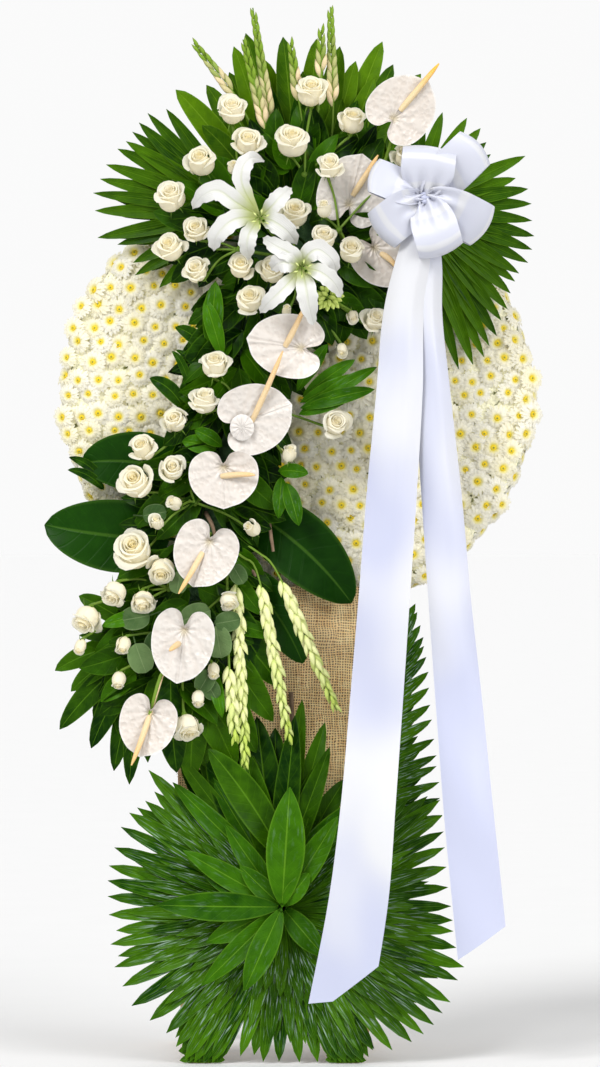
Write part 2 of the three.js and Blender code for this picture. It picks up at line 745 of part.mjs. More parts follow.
const SPIKES = {
  bud_spikes_top_left: [
    [V(-98, -150, 1699), V(-170, -146, 1790), 4, 8],
    [V(-36, -140, 1655), V(-67, -136, 1853), 7, 8],
    [V(-44, -150, 1640), V(-84, -150, 1796), 5, 7],
  ],
  bud_spikes_top_middle: [
    [V(14, -140, 1690), V(-1, -138, 1792), 5, 7],
    [V(53, -146, 1730), V(53, -146, 1813), 4, 6],
  ],
  bud_spike_top_right: [[V(74, -138, 1680), V(69, -134, 1855), 7, 8]],
  bud_spikes_hanging_left: [
    [V(-95, -166, 842), V(-80, -158, 514), 12, 11],
    [V(-108, -172, 700), V(-97, -166, 572), 5, 9],
  ],
  bud_spike_hanging_middle: [[V(-53, -164, 842), V(-1, -150, 562), 10, 10]],
  bud_spike_hanging_right: [[V(-17, -160, 850), V(80, -140, 621), 8, 10]],
}

// The last stretch of a spike's stem: straight down into the top of the upper foam
const downInto = (x) => [V(x, -118, FOAM_TOP.z1 + 8), V(x, -118, FOAM_TOP.z1 - STEM.peg)]

// Where the spikes of a node part, and the way from there into the foam
const SPIKE_ROOTS = {
  bud_spikes_top_left: [V(-30, -132, 1560), ...downInto(-20)],
  bud_spikes_top_middle: [V(34, -130, 1560), ...downInto(30)],
  bud_spike_top_right: [V(66, -130, 1560), ...downInto(62)],
  bud_spikes_hanging_left: [V(-112, -160, 872), ...pegPath(-128, 880)],
  bud_spike_hanging_middle: [V(-84, -158, 890), ...pegPath(-124, 908)],
  bud_spike_hanging_right: [V(-60, -158, 900), ...pegPath(-120, 934)],
}

// An ear of whorls: three pointed buds in each, turned by half a step from one whorl to the next
function earOfBuds(base, tip, whorls, radius) {
  const way = tip.clone().sub(base)
  const [across, out] = sides(way.clone().normalize(), FORWARD)
  const at = (share, r, angle) => base.clone().addScaledVector(way, share)
    .addScaledVector(across, (r + swell) * Math.cos(angle))
    .addScaledVector(out, (r + swell) * Math.sin(angle))
  const rings = [[base]]
  for (let i = 0; i < whorls; i++) {
    const size = radius * lerp(1, 0.45, i / whorls)
    const phase = (i % 2) * (Math.PI / 3)
    const turn = (j) => phase + (2 * Math.PI * j) / 3
    rings.push([0, 1, 2].map((j) => at((i + 0.3) / whorls, size * 0.5, turn(j) - Math.PI / 3)))
    rings.push([0, 1, 2].map((j) => at((i + 0.9) / whorls, size, turn(j))))
  }
  rings.push([tip.clone().addScaledVector(way.clone().normalize(), 4)])
  return loft(rings)
}

function budSpike(name) {
  const parts = []
  const [joint, ...rest] = SPIKE_ROOTS[name]
  SPIKES[name].forEach(([base, tip, whorls, radius], s) => {
    const inside = base.clone().lerp(tip, 0.04)
    const path = s === 0 ? [...rest].reverse().concat([joint, inside]) : [joint, inside]
    parts.push(stem(path, 2.6, 2))
    parts.push(earOfBuds(base, tip, whorls, radius))
  })
  return joined(parts)
}

// Roses: cups of five petals, one inside the other. The bud has one cup.

const ROSE_RINGS = [
  // count, radius at a petal's middle and at its edge, height at both
  [5, 0.5, 0.5, -0.5, -0.5],
  [10, 1, 0.86, 0.02, -0.14],
  [5, 0.64, 0.64, 0.06, 0.06],
  [5, 0.66, 0.66, 0.44, 0.44],
]
const BUD_RINGS = [[5, 0.6, 0.6, -0.6, -0.6], [5, 1, 1, 0.1, 0.1], [5, 0.66, 0.66, 0.8, 0.8]]

function roseHead(centre, way, radius, rings, bottom, top) {
  const [across, up] = sides(way, Math.abs(way.z) > 0.9 ? FORWARD : V(0, 0, 1))
  const size = radius + swell
  const at = (r, h, angle) => centre.clone()
    .addScaledVector(across, r * size * Math.cos(angle))
    .addScaledVector(up, r * size * Math.sin(angle))
    .addScaledVector(way, h * size)
  const body = rings.map(([count, middle, edge, height, edgeHeight]) => {
    return Array.from({ length: count }, (_, j) => {
      const isEdge = j % 2 === 1
      return at(isEdge ? edge : middle, isEdge ? edgeHeight : height, (2 * Math.PI * j) / count)
    })
  })
  return loft([[at(0, bottom, 0)], ...body, [at(0, top, 0)]])
}

// Each spray: the hole in the foam, where its stems part, and its heads as
// [x, z, depth, radius, turn right, turn up] with buds marked by a last true
const ROSES = {
  rose_spray_top_left: {
    hole: [-48, 1470], joint: [-92, -158, 1530],
    heads: [
      [-102, 1670, -188, 30, 0, 0.2], [-75, 1612, -196, 29, 0.1, 0.1],
      [-158, 1580, -182, 31, -0.2, 0.1],
      [-208, 1520, -178, 31, -0.3, 0.1], [-99, 1568, -200, 16, -0.1, 0.3, true],
    ],
  },
  rose_spray_top: {
    hole: [10, 1478], joint: [24, -156, 1560],
    heads: [
      [2, 1616, -192, 34, 0, 0.1], [35, 1702, -188, 31, 0, 0.4], [107, 1651, -180, 27, 0.2, 0.5],
    ],
  },
  rose_spray_right: {
    hole: [92, 1442], joint: [84, -180, 1462],
    heads: [
      [66, 1573, -200, 24, 0.1, 0.1], [57, 1497, -202, 18, 0, 0.5, true],
      [58, 1447, -204, 25, 0, 0],
      [105, 1424, -206, 26, 0.1, 0], [200, 1589, -184, 24, 0.1, 0.2],
    ],
  },
  rose_spray_mid_left: {
    hole: [-40, 1420], joint: [-92, -156, 1428],
    heads: [
      [-164, 1460, -186, 24, -0.3, 0], [-212, 1430, -180, 28, -0.3, 0],
      [-163, 1390, -184, 24, -0.5, 0],
      [-88, 1397, -196, 25, 0, -0.1],
    ],
  },
  rose_spray_mid: {
    hole: [0, 1390], joint: [10, -158, 1372],
    heads: [
      [7, 1491, -180, 29, 0, 0], [-33, 1390, -188, 27, 0, 0], [-72, 1339, -194, 28, 0, 0],
      [-8, 1320, -180, 13, 0.2, -0.2, true], [108, 1311, -178, 16, 0.1, -0.2, true],
      [88, 1252, -178, 16, 0, -0.3, true], [148, 1304, -176, 24, 0.2, 0],
    ],
  },
  rose_spray_cascade_1: {
    hole: [-78, 1180], joint: [-96, -158, 1160],
    heads: [
      [-133, 1226, -186, 28, 0, 0.1], [-149, 1165, -190, 26, -0.1, 0], [-201, 1127, -182, 24, -0.2, 0],
      [-259, 1080, -176, 26, -0.3, 0.1], [78, 1124, -176, 27, 0.2, -0.1],
      [-2, 1070, -178, 19, 0.1, -0.3, true],
    ],
  },
  rose_spray_cascade_2: {
    hole: [-124, 1010], joint: [-168, -158, 986],
    heads: [
      [-273, 1022, -184, 34, -0.2, 0.1], [-205, 1044, -190, 26, -0.1, 0],
      [-202, 986, -186, 18, 0, 0, true], [-233, 950, -194, 19, -0.2, 0.2, true],
      [-273, 905, -180, 38, -0.2, 0], [-69, 939, -186, 19, 0.1, -0.3, true],
    ],
  },
  rose_spray_cascade_3: {
    hole: [-156, 842], joint: [-214, -156, 836],
    heads: [
      [-226, 866, -190, 27, 0, -0.2], [-311, 827, -180, 25, -0.3, -0.5], [-259, 812, -186, 24, 0, -0.6],
      [-360, 782, -176, 28, -0.4, -0.6], [-368, 735, -172, 17, -0.3, -0.7, true],
    ],
  },
  rose_spray_cascade_4: {
    hole: [-172, 762], joint: [-196, -158, 744],
    heads: [
      [-108, 812, -188, 19, 0.1, -0.5], [-291, 738, -182, 19, -0.2, -0.6, true],
      [-300, 676, -178, 19, -0.2, -0.8, true], [-136, 693, -184, 18, 0.1, -0.6, true],
      [-161, 644, -182, 18, 0, -0.7, true], [-178, 593, -180, 28, 0.3, -0.6],
    ],
  },
}

function roseSpray({ hole, joint, heads }) {
  const fork = V(...joint)
  const parts = [knob(fork, 8), stemTo(fork, ...hole, STEM.flower)]
  heads.forEach(([x, z, y, radius, right, up, isBud]) => {
    const centre = V(x, y, z)
    const way = V(right, -1, up).normalize()
    const [across, out] = sides(way, V(0, 0, 1))
    const under = centre.clone()
      .addScaledVector(way, -radius * (isBud ? 0.56 : 0.42))
      .addScaledVector(across, 0.24 * radius * Math.cos(Math.PI / 5))
      .addScaledVector(out, 0.24 * radius * Math.sin(Math.PI / 5))
    parts.push(stem([fork, under], STEM.rose, 2.2, 3))
    parts.push(isBud
      ? roseHead(centre, way, radius, BUD_RINGS, -0.9, 0.62)
      : roseHead(centre, way, radius, ROSE_RINGS, -0.7, 0.26))
  })
  return joined(parts)
}

// Anthuriums: a heart-shaped spathe and a spadix on a stem.
// centre, [width, length], way the tip points (degrees), spadix root and tip, hole in the foam

const HEART = [
  [0, 1.08], [0.4, 0.74], [0.8, 0.3], [1, -0.2], [0.86, -0.68], [0.5, -0.92], [0.18, -0.84],
]
const ANTHURIUMS = {
  anthurium_1: [V(195, -208, 1671), [116, 126], 47, V(190, -208, 1667), V(257, -226, 1747), [134, 1480]],
  anthurium_2: [V(108, -168, 1530), [121, 131], 75, V(108, -168, 1522), V(152, -190, 1591), [92, 1484]],
  anthurium_3: [V(160, -170, 1414), [104, 116], -50, V(158, -170, 1420), V(186, -196, 1392), [136, 1420]],
  anthurium_4: [V(-8, -204, 1259), [112, 138], 170, V(-10, -204, 1257), V(24, -232, 1325), [-62, 1290]],
  anthurium_5: [V(-61, -196, 1133), [122, 132], 20, V(-68, -196, 1127), V(-33, -222, 1208), [-92, 1120]],
  anthurium_6: [V(-117, -200, 1027), [122, 104], -90, V(-121, -200, 1031), V(-62, -224, 1033), [-108, 1052]],
  anthurium_7: [V(-150, -204, 896), [112, 120], -110, V(-154, -204, 898), V(-195, -226, 827), [-142, 930]],
  anthurium_8: [V(-189, -206, 738), [110, 134], -98, V(-195, -206, 740), V(-211, -236, 728), [-166, 790]],
  anthurium_9: [V(-250, -200, 598), [100, 112], -104, V(-247, -200, 612), V(-277, -222, 529), [-186, 668]],
}

function anthurium(name) {
  const [centre, [width, length], tipAngle, root, tip, hole] = ANTHURIUMS[name]
  const half = PLATE_THICK / 2 + swell
  const outline = [...HEART, [0, -0.56], ...HEART.slice(1).reverse().map(([u, v]) => [-u, v])]
  const turn = rad(tipAngle - 90)
  const points = []
  const faces = []
  const pair = (u, v, back) => {
    const a = u * (width / 2 + swell)
    const b = v * (length / 2 + swell)
    const x = centre.x + a * Math.cos(turn) - b * Math.sin(turn)
    const z = centre.z + a * Math.sin(turn) + b * Math.cos(turn)
    points.push(V(x, centre.y + back - half, z), V(x, centre.y + back + half, z))
  }
  pair(0, 0.2, 5)
  outline.forEach(([u, v], j) => pair(u, v, j % 2 ? -2 : 2))
  outline.forEach((_, j) => {
    const a = 2 + 2 * j
    const b = 2 + 2 * ((j + 1) % outline.length)
    faces.push([0, b, a], [1, a + 1, b + 1], [a, b, b + 1], [a, b + 1, a + 1])
  })
  const spathe = solidOf(points, faces)
  const foot = V(root.x, centre.y + 4, root.z)
  const spadix = stem([root.clone().add(V(0, 2, 0)), tip], 5.5, 3.6, 5)
  const [before, end] = pegPath(...hole)
  const neck = root.clone().lerp(before, 0.4)
  neck.y = lerp(centre.y, FOAM_FRONT, 0.45)
  return joined([spathe, spadix, stem([foot, neck, before, end], STEM.flower, STEM.flower, 3)])
}

// Lilies: six petals that curl back from a throat, with a pistil

const LILIES = {
  lily_1: {
    throat: V(-52, -222, 1478), hole: [-26, 1446],
    tips: [[-43, 1579, 0], [-173, 1493, 8], [4, 1537, 6], [-135, 1419, 2], [-72, 1404, 0], [12, 1431, 10]],
  },
  lily_2: {
    throat: V(19, -246, 1393), hole: [44, 1372],
    tips: [[-51, 1447, -4], [78, 1393, 0], [89, 1336, 4], [39, 1288, 0], [-56, 1311, 2], [24, 1462, -6]],
  },
}

function lily({ throat, hole, tips }) {
  const parts = [stemTo(throat.clone().add(V(0, 4, 0)), ...hole, STEM.flower)]
  parts.push(stem([throat.clone().add(V(0, 34, -4)), throat.clone().add(V(0, 4, 0))], 4, 13, 6))
  tips.forEach(([x, z, back], i) => {
    const tip = V(x, throat.y + back, z)
    const root = throat.clone().add(V(0, 10, 0))
    const reach = Math.hypot(x - throat.x, z - throat.z)
    const width = reach * (i % 2 ? 0.34 : 0.42)
    const path = curve(root, tip, V(0, -15, 0), [0, 0.3, 0.65, 1])
    parts.push(blade(path, [width * 0.42, width * 0.5], FORWARD, 0.1))
  })
  parts.push(stem([throat.clone().add(V(0, 8, 0)), throat.clone().add(V(6, -34, -8))], 1.8, 2.8, 3))
  return joined(parts)
}

// Satin ribbon

const KNOT = V(231, -262, 1513)
const RIBBON_THICK = 1.5

// A band between two edge lines, with a flat section
function band(left, right) {
  const rise = RIBBON_THICK / 2 + swell
  const rings = left.map((p, i) => {
    const q = right[i]
    const before = left[Math.max(i - 1, 0)]
    const after = left[Math.min(i + 1, left.length - 1)]
    const along = after.clone().sub(before)
    const across = q.clone().sub(p).normalize()
    const out = across.clone().cross(along).normalize()
    return [
      p.clone().addScaledVector(out, rise).addScaledVector(across, -swell),
      q.clone().addScaledVector(out, rise).addScaledVector(across, swell),
      q.clone().addScaledVector(out, -rise).addScaledVector(across, swell),
      p.clone().addScaledVector(out, -rise).addScaledVector(across, -swell),
    ]
  })
  return loft(rings)
}

// Loops of the bow: [way in degrees, reach, width, lift forward]
const LOOPS = [
  [28, 120, 72, 18], [92, 84, 62, 36], [160, 112, 70, 14], [222, 104, 70, 30], [322, 108, 72, 26],
  [272, 76, 58, 40],
]
// A loop from the knot out and back: share of the reach, share of the lift, share of the width
const LOOP_SHAPE = [
  [0.1, -0.1, 0.1], [0.45, -0.7, 0.32], [0.9, -0.8, 0.5], [1, 0.1, 0.5], [0.6, 0.5, 0.4], [0.1, 0.1, 0.1],
]

function bow() {
  const parts = []
  LOOPS.forEach(([angle, reach, width, lift]) => {
    const way = V(Math.cos(rad(angle)), 0, Math.sin(rad(angle)))
    const across = V(-way.z, 0, way.x)
    const edge = (side) => LOOP_SHAPE.map(([u, v, w]) => {
      return KNOT.clone()
        .addScaledVector(way, u * reach)
        .addScaledVector(FORWARD, -v * (22 + lift * 0.5) - (v < 0 ? v * 4 : 0))
        .addScaledVector(across, side * width * w)
    })
    parts.push(band(edge(-1), edge(1)))
  })
  const knotRings = [[6, 0.7, 0.7, -0.6, -0.6], [6, 0.95, 0.95, 0, 0], [6, 0.6, 0.6, 0.8, 0.8]]
  parts.push(roseHead(KNOT, FORWARD, 20, knotRings, -0.7, 0.9))
  const wire = [KNOT.clone().add(V(0, 6, 0)), V(196, -220, 1478), V(124, FOAM_FRONT - 12, 1440),
    V(124, FOAM_FRONT + STEM.peg, 1440)]
  parts.push(stem(wire, 2.4))
  return joined(parts)
}

// Edges of a tail: [height, left x, right x, depth]
const TAILS = {
  ribbon_tail_left: [
    [1488, 206, 236, -262], [1400, 180, 242, -262], [1307, 159, 230, -256], [1180, 148, 228, -262],
    [1000, 131, 218, -254], [820, 117, 206, -260], [640, 102, 194, -252], [460, 86, 181, -258],
    [290, 64, 168, -252],
  ],
  ribbon_tail_right: [
    [1488, 228, 252, -250], [1400, 216, 262, -248], [1307, 209, 263, -240], [1180, 214, 276, -246],
    [1000, 226, 296, -238], [820, 238, 312, -244], [640, 251, 332, -236], [460, 264, 350, -242],
    [330, 276, 364, -236],
  ],
}
const TAIL_ENDS = {
  ribbon_tail_left: [[30, 117, -248], [146, 182, -244]],
  ribbon_tail_right: [[292, 191, -232], [374, 250, -236]],
}

function ribbonTail(name) {
  const rows = TAILS[name]
  const [[lx, lz, ly], [rx, rz, ry]] = TAIL_ENDS[name]
  const left = [...rows.map(([z, x, , y]) => V(x, y, z)), V(lx, ly, lz)]
  const right = [...rows.map(([z, , x, y]) => V(x, y - 3, z)), V(rx, ry, rz)]
  return band(left, right)
}

// Every piece: what makes it, and its look. A later piece gives way to an earlier one,
// and the foam comes last, so that each stem stands in its own hole.

const parts = []
const add = (name, look, make) => parts.push({ name, look, make })

for (const [name, solid] of Object.entries(makeStand())) add(name, 'wood', () => solid)
add('foam_disc', 'foam', discSolid)
add('daisy_field', 'daisy', daisyField)
add('burlap_front', 'burlap', burlap)
add('ribbon_bow', 'ribbon', bow)
for (const name of Object.keys(TAILS)) add(name, 'ribbon', () => ribbonTail(name))
for (const name of Object.keys(LILIES)) add(name, 'lily', () => lily(LILIES[name]))
for (const name of Object.keys(ANTHURIUMS)) add(name, 'anthurium', () => anthurium(name))
for (const name of Object.keys(ROSES)) add(name, 'rose', () => roseSpray(ROSES[name]))
for (const name of Object.keys(SPIKES)) add(name, 'buds', () => budSpike(name))
for (const name of Object.keys(LARGE_LEAVES)) add(name, 'leaf', () => largeLeaf(name))
add('base_rosette', 'leaf', () => baseTuft(ROSETTE))
add('base_tall_leaves', 'leaf', () => baseTuft(BASE_TALL))
add('top_leaves', 'leaf', topLeaves)
add('fill_leaves_top', 'leaf', fillTop)
add('fill_leaves_cascade', 'leaf', fillCascade)
add('trailing_leaves', 'bright', trailingLeaves)
add('tall_frond', 'palm', tallFrond)
for (const name of Object.keys(FANS)) add(name, 'palm', () => fanWithStem(name))
add('foam_block_top', 'foam', foamTop)
add('foam_block_cascade', 'foam', foamCascade)
add('foam_block_base', 'foam', foamBase)

function overlaps(a, b) {
  const [p, q] = [a.boundingBox(), b.boundingBox()]
  return [0, 1, 2].every((i) => p.min[i] < q.max[i] && q.min[i] < p.max[i])
}

function largestBody(solid) {
  return solid.decompose().reduce((best, body) => (body.volume() > best.volume() ? body : best))
}

const group = new THREE.Group()
const cutters = []
for (const { name, look, make } of parts) {
  swell = 0
  let solid = make()
  for (const cutter of cutters) {
    if (overlaps(solid, cutter)) solid = solid.subtract(cutter)
  }
  solid = largestBody(solid)
  swell = GAP
  cutters.push(make())
  swell = 0
  const [color, roughness] = LOOKS[look]
  const mesh = new THREE.Mesh(
    geometryOf(solid),
    new THREE.MeshStandardMaterial({ color, roughness, metalness: 0 }),
  )
  mesh.name = name
  group.add(mesh)
}

export default group
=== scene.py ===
"""A standing funeral flower arrangement: the looks of each piece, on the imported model's frame.

Lengths in the tables are millimetres in the row frame (+Z up, the front faces -Y).
"""

import math

import bpy
import numpy as np
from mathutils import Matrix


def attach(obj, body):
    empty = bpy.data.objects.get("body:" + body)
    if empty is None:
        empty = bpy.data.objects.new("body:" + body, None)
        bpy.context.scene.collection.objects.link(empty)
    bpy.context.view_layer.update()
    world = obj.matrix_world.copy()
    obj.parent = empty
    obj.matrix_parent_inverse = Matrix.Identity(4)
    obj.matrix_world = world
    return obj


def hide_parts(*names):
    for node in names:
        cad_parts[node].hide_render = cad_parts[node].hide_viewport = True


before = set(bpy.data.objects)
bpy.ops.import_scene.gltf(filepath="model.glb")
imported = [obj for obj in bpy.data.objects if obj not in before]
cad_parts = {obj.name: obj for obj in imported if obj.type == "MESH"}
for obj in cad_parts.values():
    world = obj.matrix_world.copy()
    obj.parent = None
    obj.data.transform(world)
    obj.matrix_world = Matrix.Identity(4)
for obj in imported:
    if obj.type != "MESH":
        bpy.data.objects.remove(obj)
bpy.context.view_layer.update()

MM = 0.001
FRONT = np.array([0.0, -1.0, 0.0])
UP = np.array([0.0, 0.0, 1.0])
RIGHT = np.array([1.0, 0.0, 0.0])
GOLDEN_ANGLE = math.pi * (3 - math.sqrt(5))

# Shared sizes, as in the CAD

DISC_X, DISC_Z = 12.0, 1174.0
DISC_HALF_WIDTH, DISC_HALF_HEIGHT = 425.0, 394.0
DAISY_PLATE_Y = -47.6
FOAM_FRONT = -125.9
# The top foam block's left, right, lower and upper edge, then the cascade's ends as (x, z)
FOAM_TOP = (-70.0, 150.0, 1350.0, 1500.0)
CASCADE_TOP = (-52.0, 1342.0)
CASCADE_FOOT = (-200.0, 640.0)
# How deep a peg sits in the foam, and how far the lowest leaves stay above the floor
PEG = 26.0
FLOOR_REST = 1.5


def lerp(a, b, t):
    return a + (b - a) * t


def unit(v):
    v = np.asarray(v, float)
    return v / np.maximum(np.linalg.norm(v, axis=-1, keepdims=True), 1e-9)


def toward(angle):
    """The way at an angle as seen from the front: 0 is to the right."""
    return np.array([math.cos(angle), 0.0, math.sin(angle)])


def down(count):
    """0 to 1 in a column, for the rows of a mesh."""
    return np.linspace(0, 1, count)[:, None]


def over(count):
    """-1 to 1 in a row, for the columns of a mesh."""
    return np.linspace(-1, 1, count)[None]


def ring(count):
    """Angles all round in a row, for a mesh that closes on itself."""
    return np.linspace(0, 2 * math.pi, count, endpoint=False)[None]


def cascade_x(z):
    share = (CASCADE_TOP[1] - z) / (CASCADE_TOP[1] - CASCADE_FOOT[1])
    return lerp(CASCADE_TOP[0], CASCADE_FOOT[0], share)


def smooth(points, per=6):
    """A smooth line through the points."""
    p = np.asarray(points, float)
    p = np.vstack([2 * p[0] - p[1], p, 2 * p[-1] - p[-2]])
    t = np.linspace(0, 1, per, endpoint=False)[:, None]
    runs = [
        0.5 * (2 * b + (c - a) * t + (2 * a - 5 * b + 4 * c - d) * t**2 + (3 * b - a - 3 * c + d) * t**3)
        for a, b, c, d in zip(p, p[1:], p[2:], p[3:])
    ]
    return np.vstack([*runs, p[-2][None]])


def smooth_profile(at, heights, values):
    """values over heights, read from a smooth line through the given ones."""
    line = smooth(np.stack([heights, values], -1)[np.argsort(heights)], 8)
    return np.interp(at, line[:, 0], line[:, 1])


# Meshes: quads in rows, with three numbers on each vertex that the materials read


class Heap:
    """Collects the sheets and tubes of one piece."""

    def __init__(self):
        self.points, self.faces, self.marks = [], [], []
        self.count = 0

    def grid(self, points, along, across, tone, wrap=False):
        rows, columns, _ = points.shape
        ids = self.count + np.arange(rows * columns).reshape(rows, columns)
        right = np.roll(ids, -1, axis=1)
        if not wrap:
            ids, right = ids[:, :-1], right[:, :-1]
        quads = np.stack([ids[:-1], right[:-1], right[1:], ids[1:]], -1)
        self.points.append(points.reshape(-1, 3))
        self.faces.append(quads.reshape(-1, 4))
        spread = [np.broadcast_to(x, (rows, columns)) for x in (along, across, tone)]
        self.marks.append(np.stack(spread, -1).reshape(-1, 3))
        self.count += rows * columns

    def surface(self, x, y, z, *marks, wrap=False):
        """A grid from its three coordinates, each given by row, by column or by both."""
        self.grid(np.stack(np.broadcast_arrays(x, y, z), -1), *marks, wrap=wrap)

    def copies(self, other, frames, tones):
        """Copies of another heap's mesh: one for each (3 by 3 axes, place)."""
        points = np.concatenate(other.points)
        faces = np.concatenate(other.faces)
        marks = np.concatenate(other.marks)
        for (axes, place), tone in zip(frames, tones):
            self.points.append(points @ axes + place)
            self.faces.append(faces + self.count)
            self.marks.append(np.column_stack([marks[:, :2], np.full(len(marks), tone)]))
            self.count += len(points)

    def piece(self, name, look, slot, nodes=()):
        mesh = bpy.data.meshes.new(name)
        points = np.concatenate(self.points) * MM
        mesh.from_pydata(points.tolist(), [], np.concatenate(self.faces).tolist())
        marks = mesh.attributes.new("mark", "FLOAT_VECTOR", "POINT")
        marks.data.foreach_set("vector", np.concatenate(self.marks).astype(np.float32).ravel())
        mesh.polygons.foreach_set("use_smooth", np.ones(len(mesh.polygons), bool))
        mesh.materials.append(LOOKS[look])
        piece = bpy.data.objects.new(name, mesh)
        bpy.context.scene.collection.objects.link(piece)
        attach(piece, "root")
        if nodes:
            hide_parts(*nodes)
        return piece


def bent_line(root, tip, bend, rows):
    """From root to tip, with the middle off the straight line by bend."""
    root, tip, bend = (np.asarray(p, float) for p in (root, tip, bend))
    t = down(rows)
    return (1 - t) ** 2 * root + t * (1 - t) * (root + tip + 4 * bend) + t**2 * tip


def blade(
    heap, path, width, fold, shape, tone, columns=7, ripple=0.0, phase=0.0, tip_curl=0.0,
    frill=0.0, face=FRONT,
):
    """A pointed blade along a path. Its edges rise by fold, and shape sets where it is widest."""
    along = unit(np.gradient(path, axis=0))
    across = unit(np.cross(along, face))
    out = np.cross(across, along)
    t, v = down(len(path)), over(columns)
    path = path - out * tip_curl * np.clip((t - 0.6) / 0.4, 0, 1) ** 2
    outline = t ** shape[0] * (1 - t) ** shape[1]
    half = width / 2 * np.maximum(outline / outline.max(), 0.02)
    wave = frill * (np.sin(31 * t + phase) + 0.6 * np.sin(47 * t + 2 * phase))
    side = v * half + wave * v**3
    rise = fold * half * np.abs(v) ** 1.3 + wave * np.abs(v) ** 3
    rise = rise + ripple * np.sin(9 * t + phase + 1.5 * v) * np.abs(v)
    points = path[:, None] + across[:, None] * side[..., None] + out[:, None] * rise[..., None]
    points[..., 2] = np.maximum(points[..., 2], FLOOR_REST)
    heap.grid(points, t, v, tone)


def leaf(heap, root, tip, width, bend, fold, shape, tone, rows, *more, **named):
    """A blade from root to tip; what follows rows is the blade's, from its columns on."""
    blade(heap, bent_line(root, tip, bend, rows), width, fold, shape, tone, *more, **named)


def tube(heap, path, radii, sides=7, tone=0.5):
    """A round stem along a path; radii are read along it."""
    path = np.asarray(path, float)
    ways = unit(np.gradient(path, axis=0))
    across = unit(np.cross(ways[0], UP if abs(ways[0][2]) < 0.9 else RIGHT))
    share = down(len(path))
    radii = np.interp(share[:, 0], np.linspace(0, 1, len(radii)), radii)
    angle = ring(sides).T
    rings = []
    for centre, way, radius in zip(path, ways, radii):
        across = unit(across - way * across.dot(way))
        out = np.cross(across, way)
        rings.append(centre + radius * (across * np.cos(angle) + out * np.sin(angle)))
    heap.grid(np.array(rings), share, over(sides), tone, wrap=True)


def stem(heap, points, radii, sides=7, tone=0.5, per=5):
    """A tube along the smooth line through the points."""
    tube(heap, smooth(points, per), radii, sides, tone)


def bud(heap, base, way, length, width, tone):
    """A small closed bud, egg-shaped with a drawn-out tip."""
    girth = np.array([0.3, 0.7, 0.96, 1.0, 0.82, 0.48, 0.07])
    tube(heap, base + down(len(girth)) * unit(way) * length, girth * width / 2, 6, tone)


# Materials


class Value:
    """A node's output in one material; sums and products of values are nodes too."""

    def __init__(self, shader, socket):
        self.shader, self.socket = shader, socket

    def __add__(self, other):
        return self.shader.math("ADD", self, other)

    def __sub__(self, other):
        return self.shader.math("SUBTRACT", self, other)

    def __mul__(self, other):
        return self.shader.math("MULTIPLY", self, other)

    def __abs__(self):
        return self.shader.math("ABSOLUTE", self)

    def sine(self):
        return self.shader.math("SINE", self)

    def span(self, low, high):
        """0 below low and 1 above high, or the other way round, with a soft step."""
        inputs = {"Value": self, "From Min": low, "From Max": high}
        return self.shader.node("MapRange", "Result", inputs, interpolation_type="SMOOTHSTEP")


class Shader:
    """Short names for the nodes of one material."""

    def __init__(self, name):
        self.material = bpy.data.materials.new(name)
        self.material.use_nodes = True
        self.tree = self.material.node_tree
        self.tree.nodes.clear()
        self.place = self.node("TexCoord", "Object")

    def node(self, kind, output, inputs=None, **settings):
        """One output of a new node."""
        node = self.tree.nodes.new("ShaderNode" + kind)
        for key, value in settings.items():
            setattr(node, key, value)
        for key, value in (inputs or {}).items():
            socket = node.inputs[key]
            if isinstance(value, Value):
                self.tree.links.new(value.socket, socket)
            elif socket.type == "RGBA" and len(value) == 3:
                socket.default_value = (*value, 1)
            else:
                socket.default_value = value
        return Value(self, node.outputs[output])

    def parts(self, vector):
        return [self.node("SeparateXYZ", part, {"Vector": vector}) for part in "XYZ"]

    def marks(self):
        """The vertices' three numbers: along, across and tone."""
        return self.parts(self.node("Attribute", "Vector", attribute_name="mark"))

    def math(self, operation, *values):
        return self.node("Math", 0, dict(enumerate(values)), operation=operation)

    def mix(self, share, a, b):
        return self.node("Mix", 2, {0: share, 6: a, 7: b}, data_type="RGBA")

    def scaled(self, *scale):
        return self.node("Mapping", "Vector", {"Vector": self.place, "Scale": scale})

    def noise(self, scale, detail=3.0, place=None):
        inputs = {"Vector": place or self.place, "Scale": scale, "Detail": detail}
        return self.node("TexNoise", "Fac", inputs)

    def cells(self, scale):
        return self.node("TexVoronoi", "Distance", {"Vector": self.place, "Scale": scale})

    def finish(
        self, colour, roughness, bump, through=0.0, specular=0.5, sheen=(0.0, 0.5),
        coat=(0.0, 0.03), anisotropic=0.0,
    ):
        """The surface: bump is (height, strength, distance), sheen and coat (weight, roughness).

        through is the share of light that passes where it is thin.
        """
        normal = self.node("Bump", "Normal", dict(zip(("Height", "Strength", "Distance"), bump)))
        surface = self.node("BsdfPrincipled", 0, {
            "Base Color": colour, "Roughness": roughness, "Normal": normal,
            "Specular IOR Level": specular, "Sheen Weight": sheen[0], "Sheen Roughness": sheen[1],
            "Coat Weight": coat[0], "Coat Roughness": coat[1], "Anisotropic": anisotropic,
        })
        if through:
            thin = self.node("BsdfTranslucent", 0, {"Color": colour, "Normal": normal})
            surface = self.node("MixShader", 0, {0: through, 1: surface, 2: thin})
        end = self.tree.nodes.new("ShaderNodeOutputMaterial")
        self.tree.links.new(surface.socket, end.inputs["Surface"])
        return self.material


